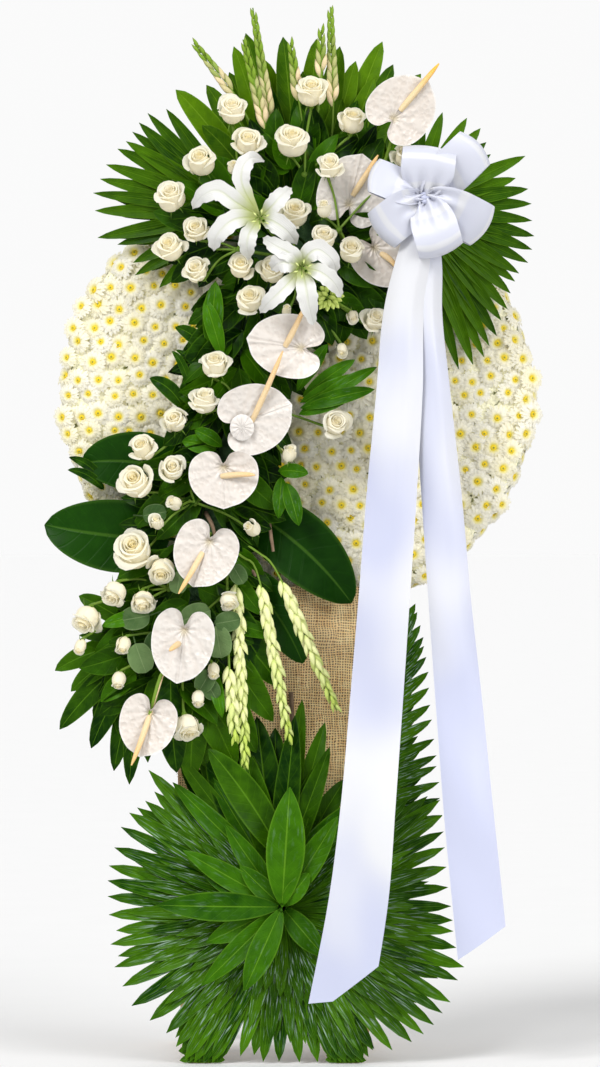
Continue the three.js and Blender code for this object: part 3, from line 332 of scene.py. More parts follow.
def leaf_look(
    name, deep, light, rib, lateral, lines, gloss, through=0.12, ribbed=0.55, veined=0.2,
    painted_glints=0.0,
):
    """A leaf: mottled blade, pale midrib and edge, and side veins or lengthwise ones."""
    s = Shader(name)
    along, across, tone = s.marks()
    edge = abs(across)
    mottle = s.noise(45, 4)
    body = s.mix(tone * 0.75 + (mottle - 0.5) * 0.8, deep, light)
    if lateral:
        line = ((along * lines - edge * 1.5) * (2 * math.pi)).sine().span(0.8, 1.0)
    else:
        line = (across * (math.pi * lines)).sine().span(0.1, 1.0)
    midrib = edge.span(0.07, 0.02)
    body = s.mix(line * veined, body, light)
    body = s.mix(edge.span(0.86, 1.0) * 0.35, body, rib)
    colour = s.mix(midrib * ribbed, body, rib)
    # Painted highlights: pale streaks mixed into the colour where glossy glints would shine
    if painted_glints:
        parts = {"X": across * 5.0, "Y": along * 7.0, "Z": tone * 60.0}
        spot = s.noise(1.0, 3, s.node("CombineXYZ", 0, parts)).span(0.54, 0.72)
        zone = along.span(0.3, 0.55) * along.span(0.98, 0.75)
        colour = s.mix(spot * zone * painted_glints, colour, (0.34, 0.46, 0.4))
    height = s.noise(900, 2) * 0.12 - line * 0.5 - midrib * 0.8
    return s.finish(colour, mottle * 0.22 + gloss, (height, 0.5, 0.0012), through, 0.06)


def rose_look():
    s = Shader("rose_petals")
    along, across, tone = s.marks()
    warm = s.mix(tone.span(0.0, 0.62), (0.99, 0.92, 0.66), (0.99, 0.95, 0.8))
    warm = s.mix(s.noise(9, 1).span(0.35, 0.65) * 0.5, warm, (0.99, 0.96, 0.86))
    colour = s.mix(along.span(0.34, 0.05) * 0.7, warm, (0.76, 0.78, 0.38))
    colour = s.mix(along.span(0.86, 1.0) * 0.5, colour, (0.99, 0.97, 0.88))
    veins = s.noise(260, 3, s.scaled(1, 1, 0.35))
    height = veins * 0.7 + ((across + veins * 0.2) * 46).sine() * 0.12
    return s.finish(colour, 0.55, (height, 0.25, 0.0008), 0.54, sheen=(0.15, 0.5))


def daisy_look():
    s = Shader("daisy_petals")
    along, across, tone = s.marks()
    shade = s.mix(tone * 0.7, (0.98, 0.965, 0.9), (0.98, 0.94, 0.74))
    colour = s.mix(along.span(0.6, 0.24) * 0.85, shade, (0.95, 0.87, 0.16))
    height = (across * 9.0).sine() * 0.4 + s.noise(700, 2) * 0.3
    return s.finish(colour, 0.6, (height, 0.2, 0.0006), 0.46)


def daisy_centre_look():
    s = Shader("daisy_centres")
    along, _, tone = s.marks()
    grain = s.cells(1100)
    yellow = s.mix(tone, (0.97, 0.76, 0.02), (0.93, 0.86, 0.05))
    yellow = s.mix(grain.span(0.1, 0.6), yellow, (0.8, 0.56, 0.02))
    colour = s.mix(along.span(0.5, 0.9), yellow, (0.2, 0.23, 0.03))
    return s.finish(colour, 0.75, (grain, 0.8, 0.0012))


def bed_look():
    s = Shader("daisy_bed")
    patches = s.noise(70, 5)
    colour = s.mix(patches.span(0.34, 0.42), (0.12, 0.13, 0.03), (0.9, 0.87, 0.62))
    return s.finish(colour, 0.85, (patches + s.cells(150), 0.9, 0.004))


def anthurium_look():
    s = Shader("anthurium_spathes")
    along, across, tone = s.marks()
    ray = ((across + (s.noise(28, 3) - 0.5) * 0.07) * (2 * math.pi * 13)).sine()
    net = s.cells(110).span(0.15, 0.75)
    pearl = s.mix(tone, (0.63, 0.56, 0.495), (0.66, 0.62, 0.58))
    pearl = s.mix(net * 0.4, pearl, (0.72, 0.675, 0.625))
    colour = s.mix(ray.span(0.2, 1.0) * 0.22, pearl, (0.6, 0.52, 0.45))
    colour = s.mix(along.span(0.22, 0.0) * 0.8, colour, (0.64, 0.54, 0.34))
    colour = s.mix(along.span(0.95, 1.0) * 0.7, colour, (0.76, 0.745, 0.715))
    height = net * 0.5 - ray * 0.3
    return s.finish(colour, 0.34, (height, 0.8, 0.0024), 0.1, coat=(0.3, 0.2))


def spadix_look():
    s = Shader("spadices")
    along, _, tone = s.marks()
    pale = s.mix(along.span(0.2, 1.0), (0.76, 0.56, 0.31), (0.8, 0.51, 0.23))
    orange = s.mix(along.span(0.3, 0.95), (0.78, 0.6, 0.33), (0.88, 0.44, 0.01))
    grain = s.cells(900)
    colour = s.mix(grain.span(0.5, 0.05), s.mix(tone, pale, orange), (0.86, 0.72, 0.48))
    return s.finish(colour, 0.5, (grain, 0.7, 0.0009))


def lily_look():
    s = Shader("lily_petals")
    along, across, tone = s.marks()
    edge = abs(across)
    white = s.mix(tone, (0.71, 0.71, 0.68), (0.75, 0.745, 0.73))
    rib = edge.span(0.22, 0.02) * along.span(0.9, 0.15)
    colour = s.mix(rib * 0.5, white, (0.54, 0.59, 0.32))
    colour = s.mix(along.span(0.34, 0.08) * 0.85, colour, (0.44, 0.5, 0.1))
    height = (across * 34).sine() * 0.12 + s.noise(420, 3) * 0.3 - edge.span(0.14, 0.02)
    return s.finish(colour, 0.42, (height, 0.45, 0.0012), 0.2, sheen=(0.2, 0.4))


def bud_look(name, low, high, tip):
    """Buds: tone 0 is the lowest on the spike and 1 is its end."""
    s = Shader(name)
    along, across, tone = s.marks()
    colour = s.mix(along.span(0.7, 1.0) * 0.6, s.mix(tone, low, high), tip)
    colour = s.mix(along.span(0.35, 0.0) * 0.6, colour, high)
    height = (across * 9.4).sine() * 0.5 + s.noise(500, 2) * 0.3
    return s.finish(colour, 0.45, (height, 0.4, 0.0008), 0.12, 0.25)


def stem_look():
    s = Shader("green_stems")
    _, across, tone = s.marks()
    streak = s.noise(90, 4, s.scaled(1, 1, 0.2))
    colour = s.mix(tone * 0.6 + streak * 0.4, (0.03, 0.1, 0.008), (0.2, 0.32, 0.035))
    height = streak + (across * 14).sine() * 0.3
    return s.finish(colour, 0.5, (height, 0.4, 0.0008), specular=0.2)


def satin_look(name, folded):
    """White satin with painted light: on the bow, narrow painted highlight bands across each fold over
    painted lavender shade; on the tails, painted lavender shade in long patches.
    """
    s = Shader(name)
    along, across, tone = s.marks()
    # This share of painted lavender shade leaves narrow painted white highlights on the bow and long
    # painted shade patches on the tails
    if folded:
        run = along * 5.0 + tone * 2.3 + s.noise(16, 1) * 0.4
        painted_shade = (run * (2 * math.pi)).sine().span(0.98, 0.6) * 0.44
    else:
        patch = s.noise(3.4, 1, s.scaled(1.6, 1, 1))
        painted_shade = (patch + tone * (along * 0.14 + 0.08)).span(0.36, 0.62)
    # The pale colour is the painted highlight, the lavender one the painted shade
    colour = s.mix(painted_shade, (0.69, 0.695, 0.725), (0.505, 0.53, 0.685))
    threads = {"Vector": s.place, "Scale": 620.0, "Distortion": 0.6}
    weave = s.node("TexWave", "Fac", threads, bands_direction="Z")
    crush = s.noise(22, 3, s.scaled(1, 1, 0.4))
    height = weave * 0.1 + abs(across).span(0.93, 0.97) * 0.5 + crush * 0.9
    return s.finish(
        colour, 0.32, (height, 0.2, 0.0015), 0.12, sheen=(0.35, 0.35), anisotropic=0.55
    )


def burlap_look():
    s = Shader("burlap_weave")
    x, _, z = s.parts(s.place)
    yarns_a_metre = 1000 / 4.6
    wander = (s.noise(30, 3) - 0.5) * 8.0
    slub_warp = s.noise(1.0, 3, s.scaled(420, 1, 26))
    slub_weft = s.noise(1.0, 3, s.scaled(26, 1, 420))
    warp = abs((x * (yarns_a_metre * math.pi) + wander).sine()) * (slub_warp * 1.5 + 0.3)
    weft = abs((z * (yarns_a_metre * math.pi) + wander).sine()) * (slub_weft * 1.5 + 0.3)
    top = s.math("MAXIMUM", warp, weft)
    fibre = s.noise(1400, 3)
    tan = s.mix((slub_warp + slub_weft).span(0.75, 1.25), (0.86, 0.5, 0.19), (1.0, 0.79, 0.42))
    tan = s.mix(fibre * 0.3, tan, (1.0, 0.8, 0.46))
    colour = s.mix(top.span(0.62, 0.86), (0.11, 0.045, 0.015), tan)
    return s.finish(colour, 0.92, (top + fibre * 0.25, 0.6, 0.0016), sheen=(0.25, 0.6))


def wood_look(name, *stretch):
    """Planed softwood; stretch squeezes the grain except along the board."""
    s = Shader(name)
    rings = (s.noise(1.0, 5, s.scaled(*stretch)) * 42).sine()
    fine = s.noise(3.0, 3, s.scaled(*stretch))
    colour = s.mix(rings.span(-0.8, 0.9), (0.5, 0.33, 0.18), (0.66, 0.48, 0.29))
    colour = s.mix(fine * 0.4, colour, (0.36, 0.22, 0.12))
    return s.finish(colour, 0.68, (rings + fine, 0.25, 0.0012))


def foam_look():
    s = Shader("floral_foam")
    dents = s.noise(60, 4)
    colour = s.mix(dents.span(0.35, 0.7), (0.02, 0.07, 0.02), (0.07, 0.16, 0.06))
    return s.finish(colour, 0.95, (s.cells(900) + dents, 0.8, 0.002))


def bark_look():
    s = Shader("twig_bark")
    ridges = s.noise(1.0, 5, s.scaled(260, 260, 60))
    colour = s.mix(ridges, (0.09, 0.05, 0.025), (0.32, 0.22, 0.14))
    return s.finish(colour, 0.85, (ridges, 0.8, 0.002))


def floor_look():
    s = Shader("pale_floor")
    grain = s.noise(6, 3)
    colour = s.mix(grain, (0.76, 0.76, 0.76), (0.78, 0.78, 0.78))
    return s.finish(colour, 0.85, (grain, 0.02, 0.001))


# Leaves: deep, light and rib colours, side veins or not, lines, gloss, light through, then how
# strongly the rib, the veins and the painted glints (pale painted highlights) show
LEAF_LOOKS = {
    "palm_leaflets": [
        (0.009, 0.042, 0.0004), (0.075, 0.19, 0.0015), (0.14, 0.29, 0.01),
        False, 7, 0.24, 0.12, 0.3, 0.3],
    "base_leaflets": [
        (0.004, 0.034, 0.0004), (0.075, 0.21, 0.003), (0.13, 0.29, 0.02),
        False, 5, 0.16, 0.12, 0.3, 0.25, 0.8],
    "big_leaves": [
        (0.0035, 0.026, 0.001), (0.012, 0.062, 0.002), (0.06, 0.15, 0.015),
        True, 9, 0.24, 0.1, 0.5, 0.1],
    "filling_leaves": [
        (0.0015, 0.012, 0.0003), (0.045, 0.15, 0.0015), (0.1, 0.24, 0.01),
        True, 6, 0.24, 0.12, 0.4, 0.14],
    "upright_leaves": [
        (0.007, 0.045, 0.0004), (0.105, 0.23, 0.0015), (0.19, 0.34, 0.02),
        True, 12, 0.3, 0.12, 0.4, 0.12],
    "bright_leaves": [
        (0.005, 0.04, 0.0005), (0.06, 0.2, 0.002), (0.16, 0.34, 0.02),
        True, 10, 0.26, 0.12, 0.45, 0.08, 0.1],
    "trailing_leaves": [
        (0.003, 0.024, 0.0003), (0.065, 0.19, 0.0015), (0.12, 0.28, 0.012),
        True, 12, 0.24, 0.12, 0.45, 0.1],
    "grey_green_leaves": [
        (0.04, 0.09, 0.025), (0.17, 0.26, 0.1), (0.24, 0.33, 0.15),
        True, 5, 0.5, 0.15, 0.4, 0.1],
}
materials = [
    rose_look(), daisy_look(), daisy_centre_look(), bed_look(), anthurium_look(), spadix_look(),
    lily_look(), stem_look(), burlap_look(), foam_look(), bark_look(), floor_look(),
    satin_look("white_satin", False), satin_look("bow_satin", True),
    bud_look("lime_buds", (0.87, 0.88, 0.46), (0.5, 0.64, 0.1), (0.62, 0.74, 0.18)),
    bud_look("cream_buds", (0.8, 0.64, 0.4), (0.19, 0.32, 0.02), (0.24, 0.22, 0.06)),
    wood_look("wood_upright", 90, 90, 5), wood_look("wood_lengthwise", 90, 5, 90),
    wood_look("wood_crosswise", 5, 90, 90),
    *(leaf_look(name, *settings) for name, settings in LEAF_LOOKS.items()),
]
LOOKS = {material.name: material for material in materials}

# Daisies

DAISY_SPACING = 36.5
RIM_DAISIES = 132


def disc_surface(x, z):
    """Depth of the daisies' bed, and how far out it is (1 at the rim)."""
    out = np.hypot((x - DISC_X) / DISC_HALF_WIDTH, (z - DISC_Z) / DISC_HALF_HEIGHT)
    roll = np.clip((out - 0.82) / 0.18, 0, 1)
    return DAISY_PLATE_Y - 12 * (1 - 0.9 * roll**2), out


def under_foam(x, z, margin):
    x0, x1, z0, z1 = FOAM_TOP
    top = x0 - margin < x < x1 + margin and z0 - margin < z < z1 + margin
    low = CASCADE_FOOT[1] < z < CASCADE_TOP[1] + 40
    return top or (low and abs(x - cascade_x(z)) < 42 + margin)


def daisy_model(petals, centre, rng):
    """One flower with a radius of 1, in the XY plane and facing +Z."""
    t, v = np.array([[0.14], [0.5], [0.86], [1.0]]), over(3)
    for count, reach, rise, first in ((22, 1.0, 0.1, 0.0), (15, 0.78, 0.24, 0.2)):
        for i in range(count):
            angle = first + 2 * math.pi * i / count + rng.normal(0, 0.06)
            out = t * reach * rng.uniform(0.88, 1.04)
            height = np.array([[0.02], [rise], [rise * 0.7], [rise * 0.2 - 0.05]])
            height = height + rng.normal(0, 0.02) + 0.03 * np.abs(v)
            side = v * np.array([[0.05], [0.125], [0.12], [0.045]]) * rng.uniform(0.85, 1.1)
            x = out * math.cos(angle) - side * math.sin(angle)
            y = out * math.sin(angle) + side * math.cos(angle)
            petals.surface(x, y, height, t, v, 0.5)
    radius = np.array([[0.0], [0.1], [0.2], [0.27]])
    height = np.array([[0.2], [0.2], [0.15], [0.02]])
    along = np.array([[1.0], [0.55], [0.2], [0.0]])
    angle = ring(9)
    x, y = radius * np.cos(angle), radius * np.sin(angle)
    centre.surface(x, y, height, along, angle, 0.5, wrap=True)


def facing(normal, turn, scale):
    """Axes that stand a model on a surface: its Z along the normal."""
    normal = unit(normal)
    side = unit(np.cross(normal, UP if abs(normal[2]) < 0.9 else RIGHT))
    x = side * math.cos(turn) + np.cross(side, normal) * math.sin(turn)
    return np.array([x, np.cross(normal, x), normal]) * scale


def daisy_places(rng):
    """Place and normal of each daisy on the face, then of each one round the rim."""
    face, rim = [], []
    step = DAISY_SPACING * 0.866
    rows = int(2 * DISC_HALF_HEIGHT / step) + 2
    for row in range(-rows // 2, rows // 2 + 1):
        for column in range(-13, 14):
            x = DISC_X + (column + 0.5 * (row % 2)) * DAISY_SPACING + rng.uniform(-7, 7)
            z = DISC_Z + row * step + rng.uniform(-7, 7)
            y, out = disc_surface(x, z)
            if out > 0.985 or under_foam(x, z, 8):
                continue
            lean = np.clip((out - 0.78) / 0.22, 0, 1) ** 1.5 * 0.9
            normal = FRONT + unit([x - DISC_X, 0, z - DISC_Z]) * lean + rng.normal(0, 0.1, 3)
            face.append(([x, y - rng.uniform(-1, 5), z], normal))
    for i in range(RIM_DAISIES):
        way = toward(2 * math.pi * i / RIM_DAISIES)
        depth, lean = ((-40, 0.7), (-14, 0.05), (-28, 0.35), (-8, 0.0))[i % 4]
        normal = unit(way * [DISC_HALF_HEIGHT, 0, DISC_HALF_WIDTH]) + FRONT * lean
        place = way * [DISC_HALF_WIDTH - 14, 0, DISC_HALF_HEIGHT - 14] + [DISC_X, depth, DISC_Z]
        rim.append((place, normal + rng.normal(0, 0.12, 3)))
    return face, rim


def make_daisies():
    rng = np.random.default_rng(11)
    face, rim = daisy_places(rng)
    petals, rim_petals, centres, bed = Heap(), Heap(), Heap(), Heap()
    models = [(Heap(), Heap()) for _ in range(4)]
    for model in models:
        daisy_model(*model, rng)
    for k, (model_petals, model_centre) in enumerate(models):
        for heap, flowers in ((petals, face[k::4]), (rim_petals, rim[k::4])):
            tones = rng.uniform(0, 1, len(flowers))
            frames = [
                (facing(normal, rng.uniform(0, 6.3), rng.uniform(20.5, 27.0)), place)
                for place, normal in flowers
            ]
            heap.copies(model_petals, frames, tones)
            centres.copies(model_centre, frames, tones)
    petals.piece("daisy_petals", "daisy_petals", "daisy", ["daisy_field"])
    rim_petals.piece("daisy_rim_petals", "daisy_petals", "daisy")
    centres.piece("daisy_centres", "daisy_centres", "daisy")
    angle = ring(72)
    share = np.array([0.0, 0.3, 0.6, 0.8, 0.88, 0.92, 0.95, 0.96, 0.965])[:, None]
    x = DISC_X + DISC_HALF_WIDTH * share * np.cos(angle)
    z = DISC_Z + DISC_HALF_HEIGHT * share * np.sin(angle)
    y = disc_surface(x, z)[0] + 2.0
    y[-2:] = [[-44.0], [-42.9]]
    bed.surface(x, y, z, share, angle, 0.5, wrap=True)
    bed.piece("daisy_bed", "daisy_bed", "daisy")


# Roses: the hole in the foam, the fork, then heads as [x, z, y, radius, right, up, bud]

ROSES = {
    "rose_spray_top_left": [[-48, 1470], [-92, -158, 1530], [
        [-102, 1670, -188, 30, 0, 0.2], [-75, 1612, -196, 29, 0.1, 0.1],
        [-158, 1580, -182, 31, -0.2, 0.1], [-208, 1520, -178, 31, -0.3, 0.1],
        [-99, 1568, -200, 16, -0.1, 0.3, True]]],
    "rose_spray_top": [[10, 1478], [24, -156, 1560], [
        [2, 1616, -192, 34, 0, 0.1], [35, 1702, -188, 31, 0, 0.4],
        [107, 1651, -180, 27, 0.2, 0.5]]],
    "rose_spray_right": [[92, 1442], [84, -180, 1462], [
        [66, 1573, -200, 24, 0.1, 0.1], [57, 1497, -202, 18, 0, 0.5, True],
        [58, 1447, -204, 25, 0, 0], [105, 1424, -206, 26, 0.1, 0],
        [200, 1589, -184, 24, 0.1, 0.2]]],
    "rose_spray_mid_left": [[-40, 1420], [-92, -156, 1428], [
        [-164, 1460, -186, 24, -0.3, 0], [-212, 1430, -180, 28, -0.3, 0],
        [-163, 1390, -184, 24, -0.5, 0], [-88, 1397, -196, 25, 0, -0.1]]],
    "rose_spray_mid": [[0, 1390], [10, -158, 1372], [
        [7, 1491, -180, 29, 0, 0], [-33, 1390, -188, 27, 0, 0],
        [-72, 1339, -194, 28, 0, 0], [-8, 1320, -180, 13, 0.2, 0.5, True],
        [108, 1311, -178, 16, 0.1, -0.2, True], [88, 1252, -178, 16, 0, -0.3, True],
        [148, 1304, -176, 24, 0.2, 0]]],
    "rose_spray_cascade_1": [[-78, 1180], [-96, -158, 1160], [
        [-133, 1226, -186, 28, 0, 0.7], [-149, 1165, -190, 26, -0.1, 0.8],
        [-201, 1127, -182, 24, -0.3, 0.4], [-259, 1080, -176, 26, -0.3, 0.5],
        [78, 1124, -176, 27, 0.2, -0.1], [-2, 1070, -178, 19, 0.1, 0.9, True]]],
    "rose_spray_cascade_2": [[-124, 1010], [-168, -158, 986], [
        [-273, 1022, -184, 34, -0.2, 0.1], [-205, 1044, -190, 26, -0.1, 0],
        [-202, 986, -186, 18, -0.8, 0, True], [-233, 950, -194, 19, -0.2, 0.2, True],
        [-273, 905, -180, 38, -0.2, 0], [-69, 939, -186, 19, -0.6, 0.2, True]]],
    "rose_spray_cascade_3": [[-156, 842], [-214, -156, 836], [
        [-226, 866, -190, 27, 0, -0.2], [-311, 827, -180, 25, -0.3, -0.5],
        [-259, 812, -186, 24, 0, -0.6], [-360, 782, -176, 28, -0.4, -0.6],
        [-368, 735, -172, 17, -0.3, -0.7, True]]],
    "rose_spray_cascade_4": [[-172, 762], [-196, -158, 744], [
        [-108, 812, -188, 19, 0.1, -0.5], [-291, 738, -182, 19, -0.2, -0.6, True],
        [-300, 676, -178, 19, -0.2, -0.8, True], [-136, 693, -184, 18, 0.1, -0.6, True],
        [-161, 644, -182, 18, 0, -0.7, True], [-178, 593, -180, 28, 0.3, -0.6]]],
}


def rose_head(petals, greens, centre, way, radius, is_bud, rng):
    """Petals in a spiral: the inner ones stand upright and the outer ones lie open."""
    axis = unit(way)
    side = unit(np.cross(axis, UP))
    axes = radius * np.array([side, np.cross(side, axis), axis * (1.1 if is_bud else 1.3)])
    start = rng.uniform(0, 2 * math.pi)

    def at(r, h, angle):
        round_axis = np.broadcast_arrays(r * np.cos(angle), r * np.sin(angle), h)
        return centre + np.stack(round_axis, -1) @ axes

    count, spare = (9, 0) if is_bud else (15, rng.integers(0, 3))
    u, v = down(12), over(9)
    wall = np.clip(u / 0.66, 0, 1)
    lip = np.clip((u - 0.66) / 0.34, 0, 1)
    lean = rng.normal(0, 0.08, 2)
    for k in range(count + spare):
        s = min(k / (count - 1), 1.0)
        turn = start + k * GOLDEN_ANGLE + rng.normal(0, 0.2)
        loose = max(0.0, (s - 0.72) / 0.28) * rng.uniform(0.1, 1.0)
        if k >= count:
            loose = rng.uniform(1.0, 1.5)
        if is_bud:
            top_r, top_h = 0.05 + 0.4 * s, 0.78 - 0.2 * s
            belly, curl, arc = 0.3 * s, 0.03 + 0.06 * s, lerp(0.9, 2.0, s)
            half_angle, foot_h = lerp(2.4, 1.3, s), -0.8
        else:
            top_r, top_h = 0.04 + 0.6 * s, 0.46 - 0.1 * s - 0.5 * loose + rng.normal(0, 0.035)
            belly = 0.34 * s * (1 - 0.8 * loose)
            curl, arc = 0.03 + 0.1 * s**1.5 + 0.05 * loose, lerp(0.8, 2.3, s)
            half_angle, foot_h = lerp(2.3, 1.1, s**0.8) * (0.62 if k >= count else 1), -0.7
        drop = 0.3 * s * np.abs(v) ** 3
        rise = wall * (1 - 0.55 * drop)
        turned = arc * lip * (1 - 0.35 * drop)
        ruffle = curl * (1 + 0.34 * s * np.sin(3.1 * v + 5 * s * k))
        r = 0.1 + (top_r - 0.1) * np.sin(rise * math.pi / 2) ** 0.8
        r = r + belly * np.sin(rise * math.pi) + 0.12 * loose * rise + ruffle * (1 - np.cos(turned))
        r = r * (1 - 0.07 * s * v**2) + (lean[0] * np.cos(turn) + lean[1] * np.sin(turn)) * s
        r = r + np.clip(1 - np.abs(v) / 0.5, 0, 1) * lip**3 * 0.07 * s
        h = foot_h + (top_h - foot_h) * rise**1.3 + ruffle * np.sin(turned)
        h = h + 0.05 * s * np.sin(4.2 * v + 3 * k) * lip
        wide = half_angle * (0.34 + 0.66 * np.sin(np.minimum(u / 0.6, 1) * math.pi / 2))
        petals.grid(at(r, h, turn + v * wide), u, v, s)
    # The swelling under the flower, and five sepals that turn back from it
    foot = np.array([[-0.98], [-0.86], [-0.7], [-0.56]])
    girth = np.array([[0.08], [0.17], [0.22], [0.2]])
    greens.grid(at(girth, foot, ring(8)), foot, ring(8), 0.6, wrap=True)
    t, v = down(6), over(3)
    for k in range(5):
        turn = 2 * math.pi * k / 5 + rng.normal(0, 0.1)
        length = rng.uniform(0.55, 0.8)
        r = 0.2 + t * length * 0.75
        h = -0.6 + length * (0.5 * t - 0.9 * t**2)
        angle = turn + v * 0.5 * (1 - t) ** 0.8 * (0.22 / (0.2 + t * length))
        greens.grid(at(r, h, angle), t, v, 0.45)


def peg_path(x, z):
    return [[x, FOAM_FRONT - 12, z], [x, FOAM_FRONT + PEG, z]]


def make_roses():
    rng = np.random.default_rng(5)
    petals, greens = Heap(), Heap()
    for hole, fork, heads in ROSES.values():
        fork = np.array(fork, float)
        stem(greens, [fork, *peg_path(*hole)], [3.2, 3.4], 7, 0.3)
        bud(greens, fork + [0, 0, -7], UP, 14, 13, 0.4)
        for x, z, y, radius, right, up, *is_bud in heads:
            centre = np.array([x, y, z], float)
            if z < 860 or up < -0.15:
                way = unit([right, -0.62, up - 0.22])
            else:
                way = unit([right, -1, up + (0.75 if z > 1250 else 0.4)])
            rose_head(petals, greens, centre, way, radius, bool(is_bud), rng)
            foot = centre - way * radius * (1.0 if is_bud else 1.2)
            middle = (fork + foot) / 2 + [rng.uniform(-6, 6), 4, rng.uniform(2, 10)]
            stem(greens, [fork, middle, foot], [2.4, 2.0, 2.6], 7, rng.uniform(0.4, 0.9))
    petals.piece("rose_petals", "rose_petals", "rose", list(ROSES))
    greens.piece("rose_stems", "green_stems", "rose")


# Anthuriums: centre, (width, length), way of the tip in degrees, spadix root and tip, hole,
# warmth of the spadix, and for the last one a point that its stem passes

HEART = [
    [0, 1.02], [0.18, 0.95], [0.56, 0.77], [0.89, 0.36], [1, -0.14], [0.9, -0.62], [0.55, -0.9],
    [0.2, -0.84], [0.02, -0.5],
]
ANTHURIUMS = [
    [(195, -208, 1671), (116, 126), 47, (190, -208, 1667), (257, -226, 1747), (134, 1480), 1.0],
    [(108, -168, 1530), (121, 131), 75, (108, -168, 1522), (152, -190, 1591), (92, 1484), 0.3],
    [(160, -170, 1414), (104, 116), -50, (158, -170, 1420), (186, -196, 1392), (136, 1420), 0.2],
    [(-8, -204, 1259), (112, 138), 170, (-10, -204, 1257), (24, -232, 1325), (-62, 1290), 0.1],
    [(-61, -196, 1133), (122, 132), 20, (-68, -196, 1127), (-14, -234, 1248), (-92, 1120), 0.1],
    [(-117, -200, 1027), (122, 104), -90, (-121, -200, 1031), (-62, -224, 1033), (-108, 1052), 0.1],
    [(-150, -204, 896), (112, 120), -110, (-154, -204, 898), (-195, -226, 827), (-142, 930), 0.3],
    [(-189, -206, 738), (110, 134), -98, (-195, -206, 740), (-211, -236, 728), (-166, 790), 0.1],
    [(-250, -200, 598), (100, 112), -104, (-247, -200, 612), (-277, -222, 529), (-186, 668), 0.3,
     (-221, -198, 693)],
]


def spathe(heap, centre, size, tip_angle, tone, rng):
    half = smooth(HEART, 5)
    outline = np.vstack([half, (half * [-1, 1])[-2::-1]])
    t, ray = down(12), np.linspace(0, 1, len(outline))[None]
    a = t * outline[:, 0]
    b = lerp(-0.4, outline[:, 1], t)
    wave = rng.uniform(0, 6.3)
    rise = 7 * t**2 - 5 * np.exp(-((t / 0.16) ** 2)) - 9 * np.clip(b - 0.6, 0, 1) ** 1.5
    rise = rise + 2.6 * t**3 * np.sin(ray * 2 * math.pi * 3 + wave)
    rise = rise + 1.1 * t * np.abs(np.sin(ray * math.pi * 15))
    a, b = a * size[0] / 2, b * size[1] / 2
    way = toward(math.radians(tip_angle))
    x = centre[0] + a * way[2] + b * way[0]
    z = centre[2] - a * way[0] + b * way[2]
    heap.surface(x, centre[1] - rise + 0.04 * a, z, t, ray, tone)


def make_anthuriums():
    rng = np.random.default_rng(3)
    sheets, fingers, stems = Heap(), Heap(), Heap()
    for centre, size, angle, root, tip, hole, warm, *by_way in ANTHURIUMS:
        centre, root, tip = (np.array(p, float) for p in (centre, root, tip))
        spathe(sheets, centre, size, angle, rng.uniform(0, 1), rng)
        line = bent_line(root + [0, 1, 0], tip, [2, -3, 2], 10)
        tube(fingers, line, [4.6, 5.6, 5.4, 5.0, 4.6, 4.0, 1.2], 10, warm)
        foot = np.array([root[0], centre[1] + 4, root[2]])
        before, end = peg_path(*hole)
        neck = lerp(foot, np.array(before), 0.4)
        neck[1] = lerp(centre[1], FOAM_FRONT, 0.45)
        if by_way:
            neck = np.array(by_way[0], float)
            stem(fingers, [foot, neck, neck + [10, 12, 12]], [3.2, 3.2], 8, 0.6)
        stem(stems, [foot, neck, before, end], [3.0, 3.0], 8, 0.9)
    # The lobe of the fifth that is folded over
    angle = np.linspace(0, 2 * math.pi, 25)[None]
    share = down(5)
    x = -85 + 21 * share * np.cos(angle)
    z = 1116 + 23 * share * np.sin(angle)
    y = -206 - 5 * (1 - share**2)
    sheets.surface(x, y, z, 0.4 + 0.6 * share, angle / (2 * math.pi), 1.0)
    names = [f"anthurium_{i + 1}" for i in range(len(ANTHURIUMS))]
    sheets.piece("anthurium_spathes", "anthurium_spathes", "anthurium", names)
    fingers.piece("anthurium_spadices", "spadices", "anthurium")
    stems.piece("anthurium_stems", "green_stems", "anthurium")


# Lilies: throat, hole, then the way of each petal from the throat to its tip as [x, z]

LILIES = {
    "lily_1": [(-54, -222, 1481), (-26, 1446), [
        [(-82, 1530), (-85, 1560), (-69, 1583), (-43, 1578)],
        [(-94, 1505), (-126, 1526), (-154, 1517), (-173, 1493)],
        [(-31, 1501), (-15, 1519), (5, 1535)],
        [(-98, 1476), (-128, 1449), (-135, 1419)],
        [(-72, 1452), (-76, 1428), (-72, 1404)],
        [(-31, 1473), (-5, 1454), (12, 1431)]]],
    "lily_2": [(19, -246, 1393), (44, 1372), [
        [(2, 1413), (-28, 1430), (-52, 1447)],
        [(29, 1413), (48, 1422), (72, 1403), (80, 1380)],
        [(50, 1384), (75, 1364), (89, 1338)],
        [(26, 1358), (31, 1326), (40, 1289)],
        [(-10, 1358), (-35, 1334), (-56, 1311)],
        [(-4, 1400), (-22, 1398), (-38, 1386)]]],
}


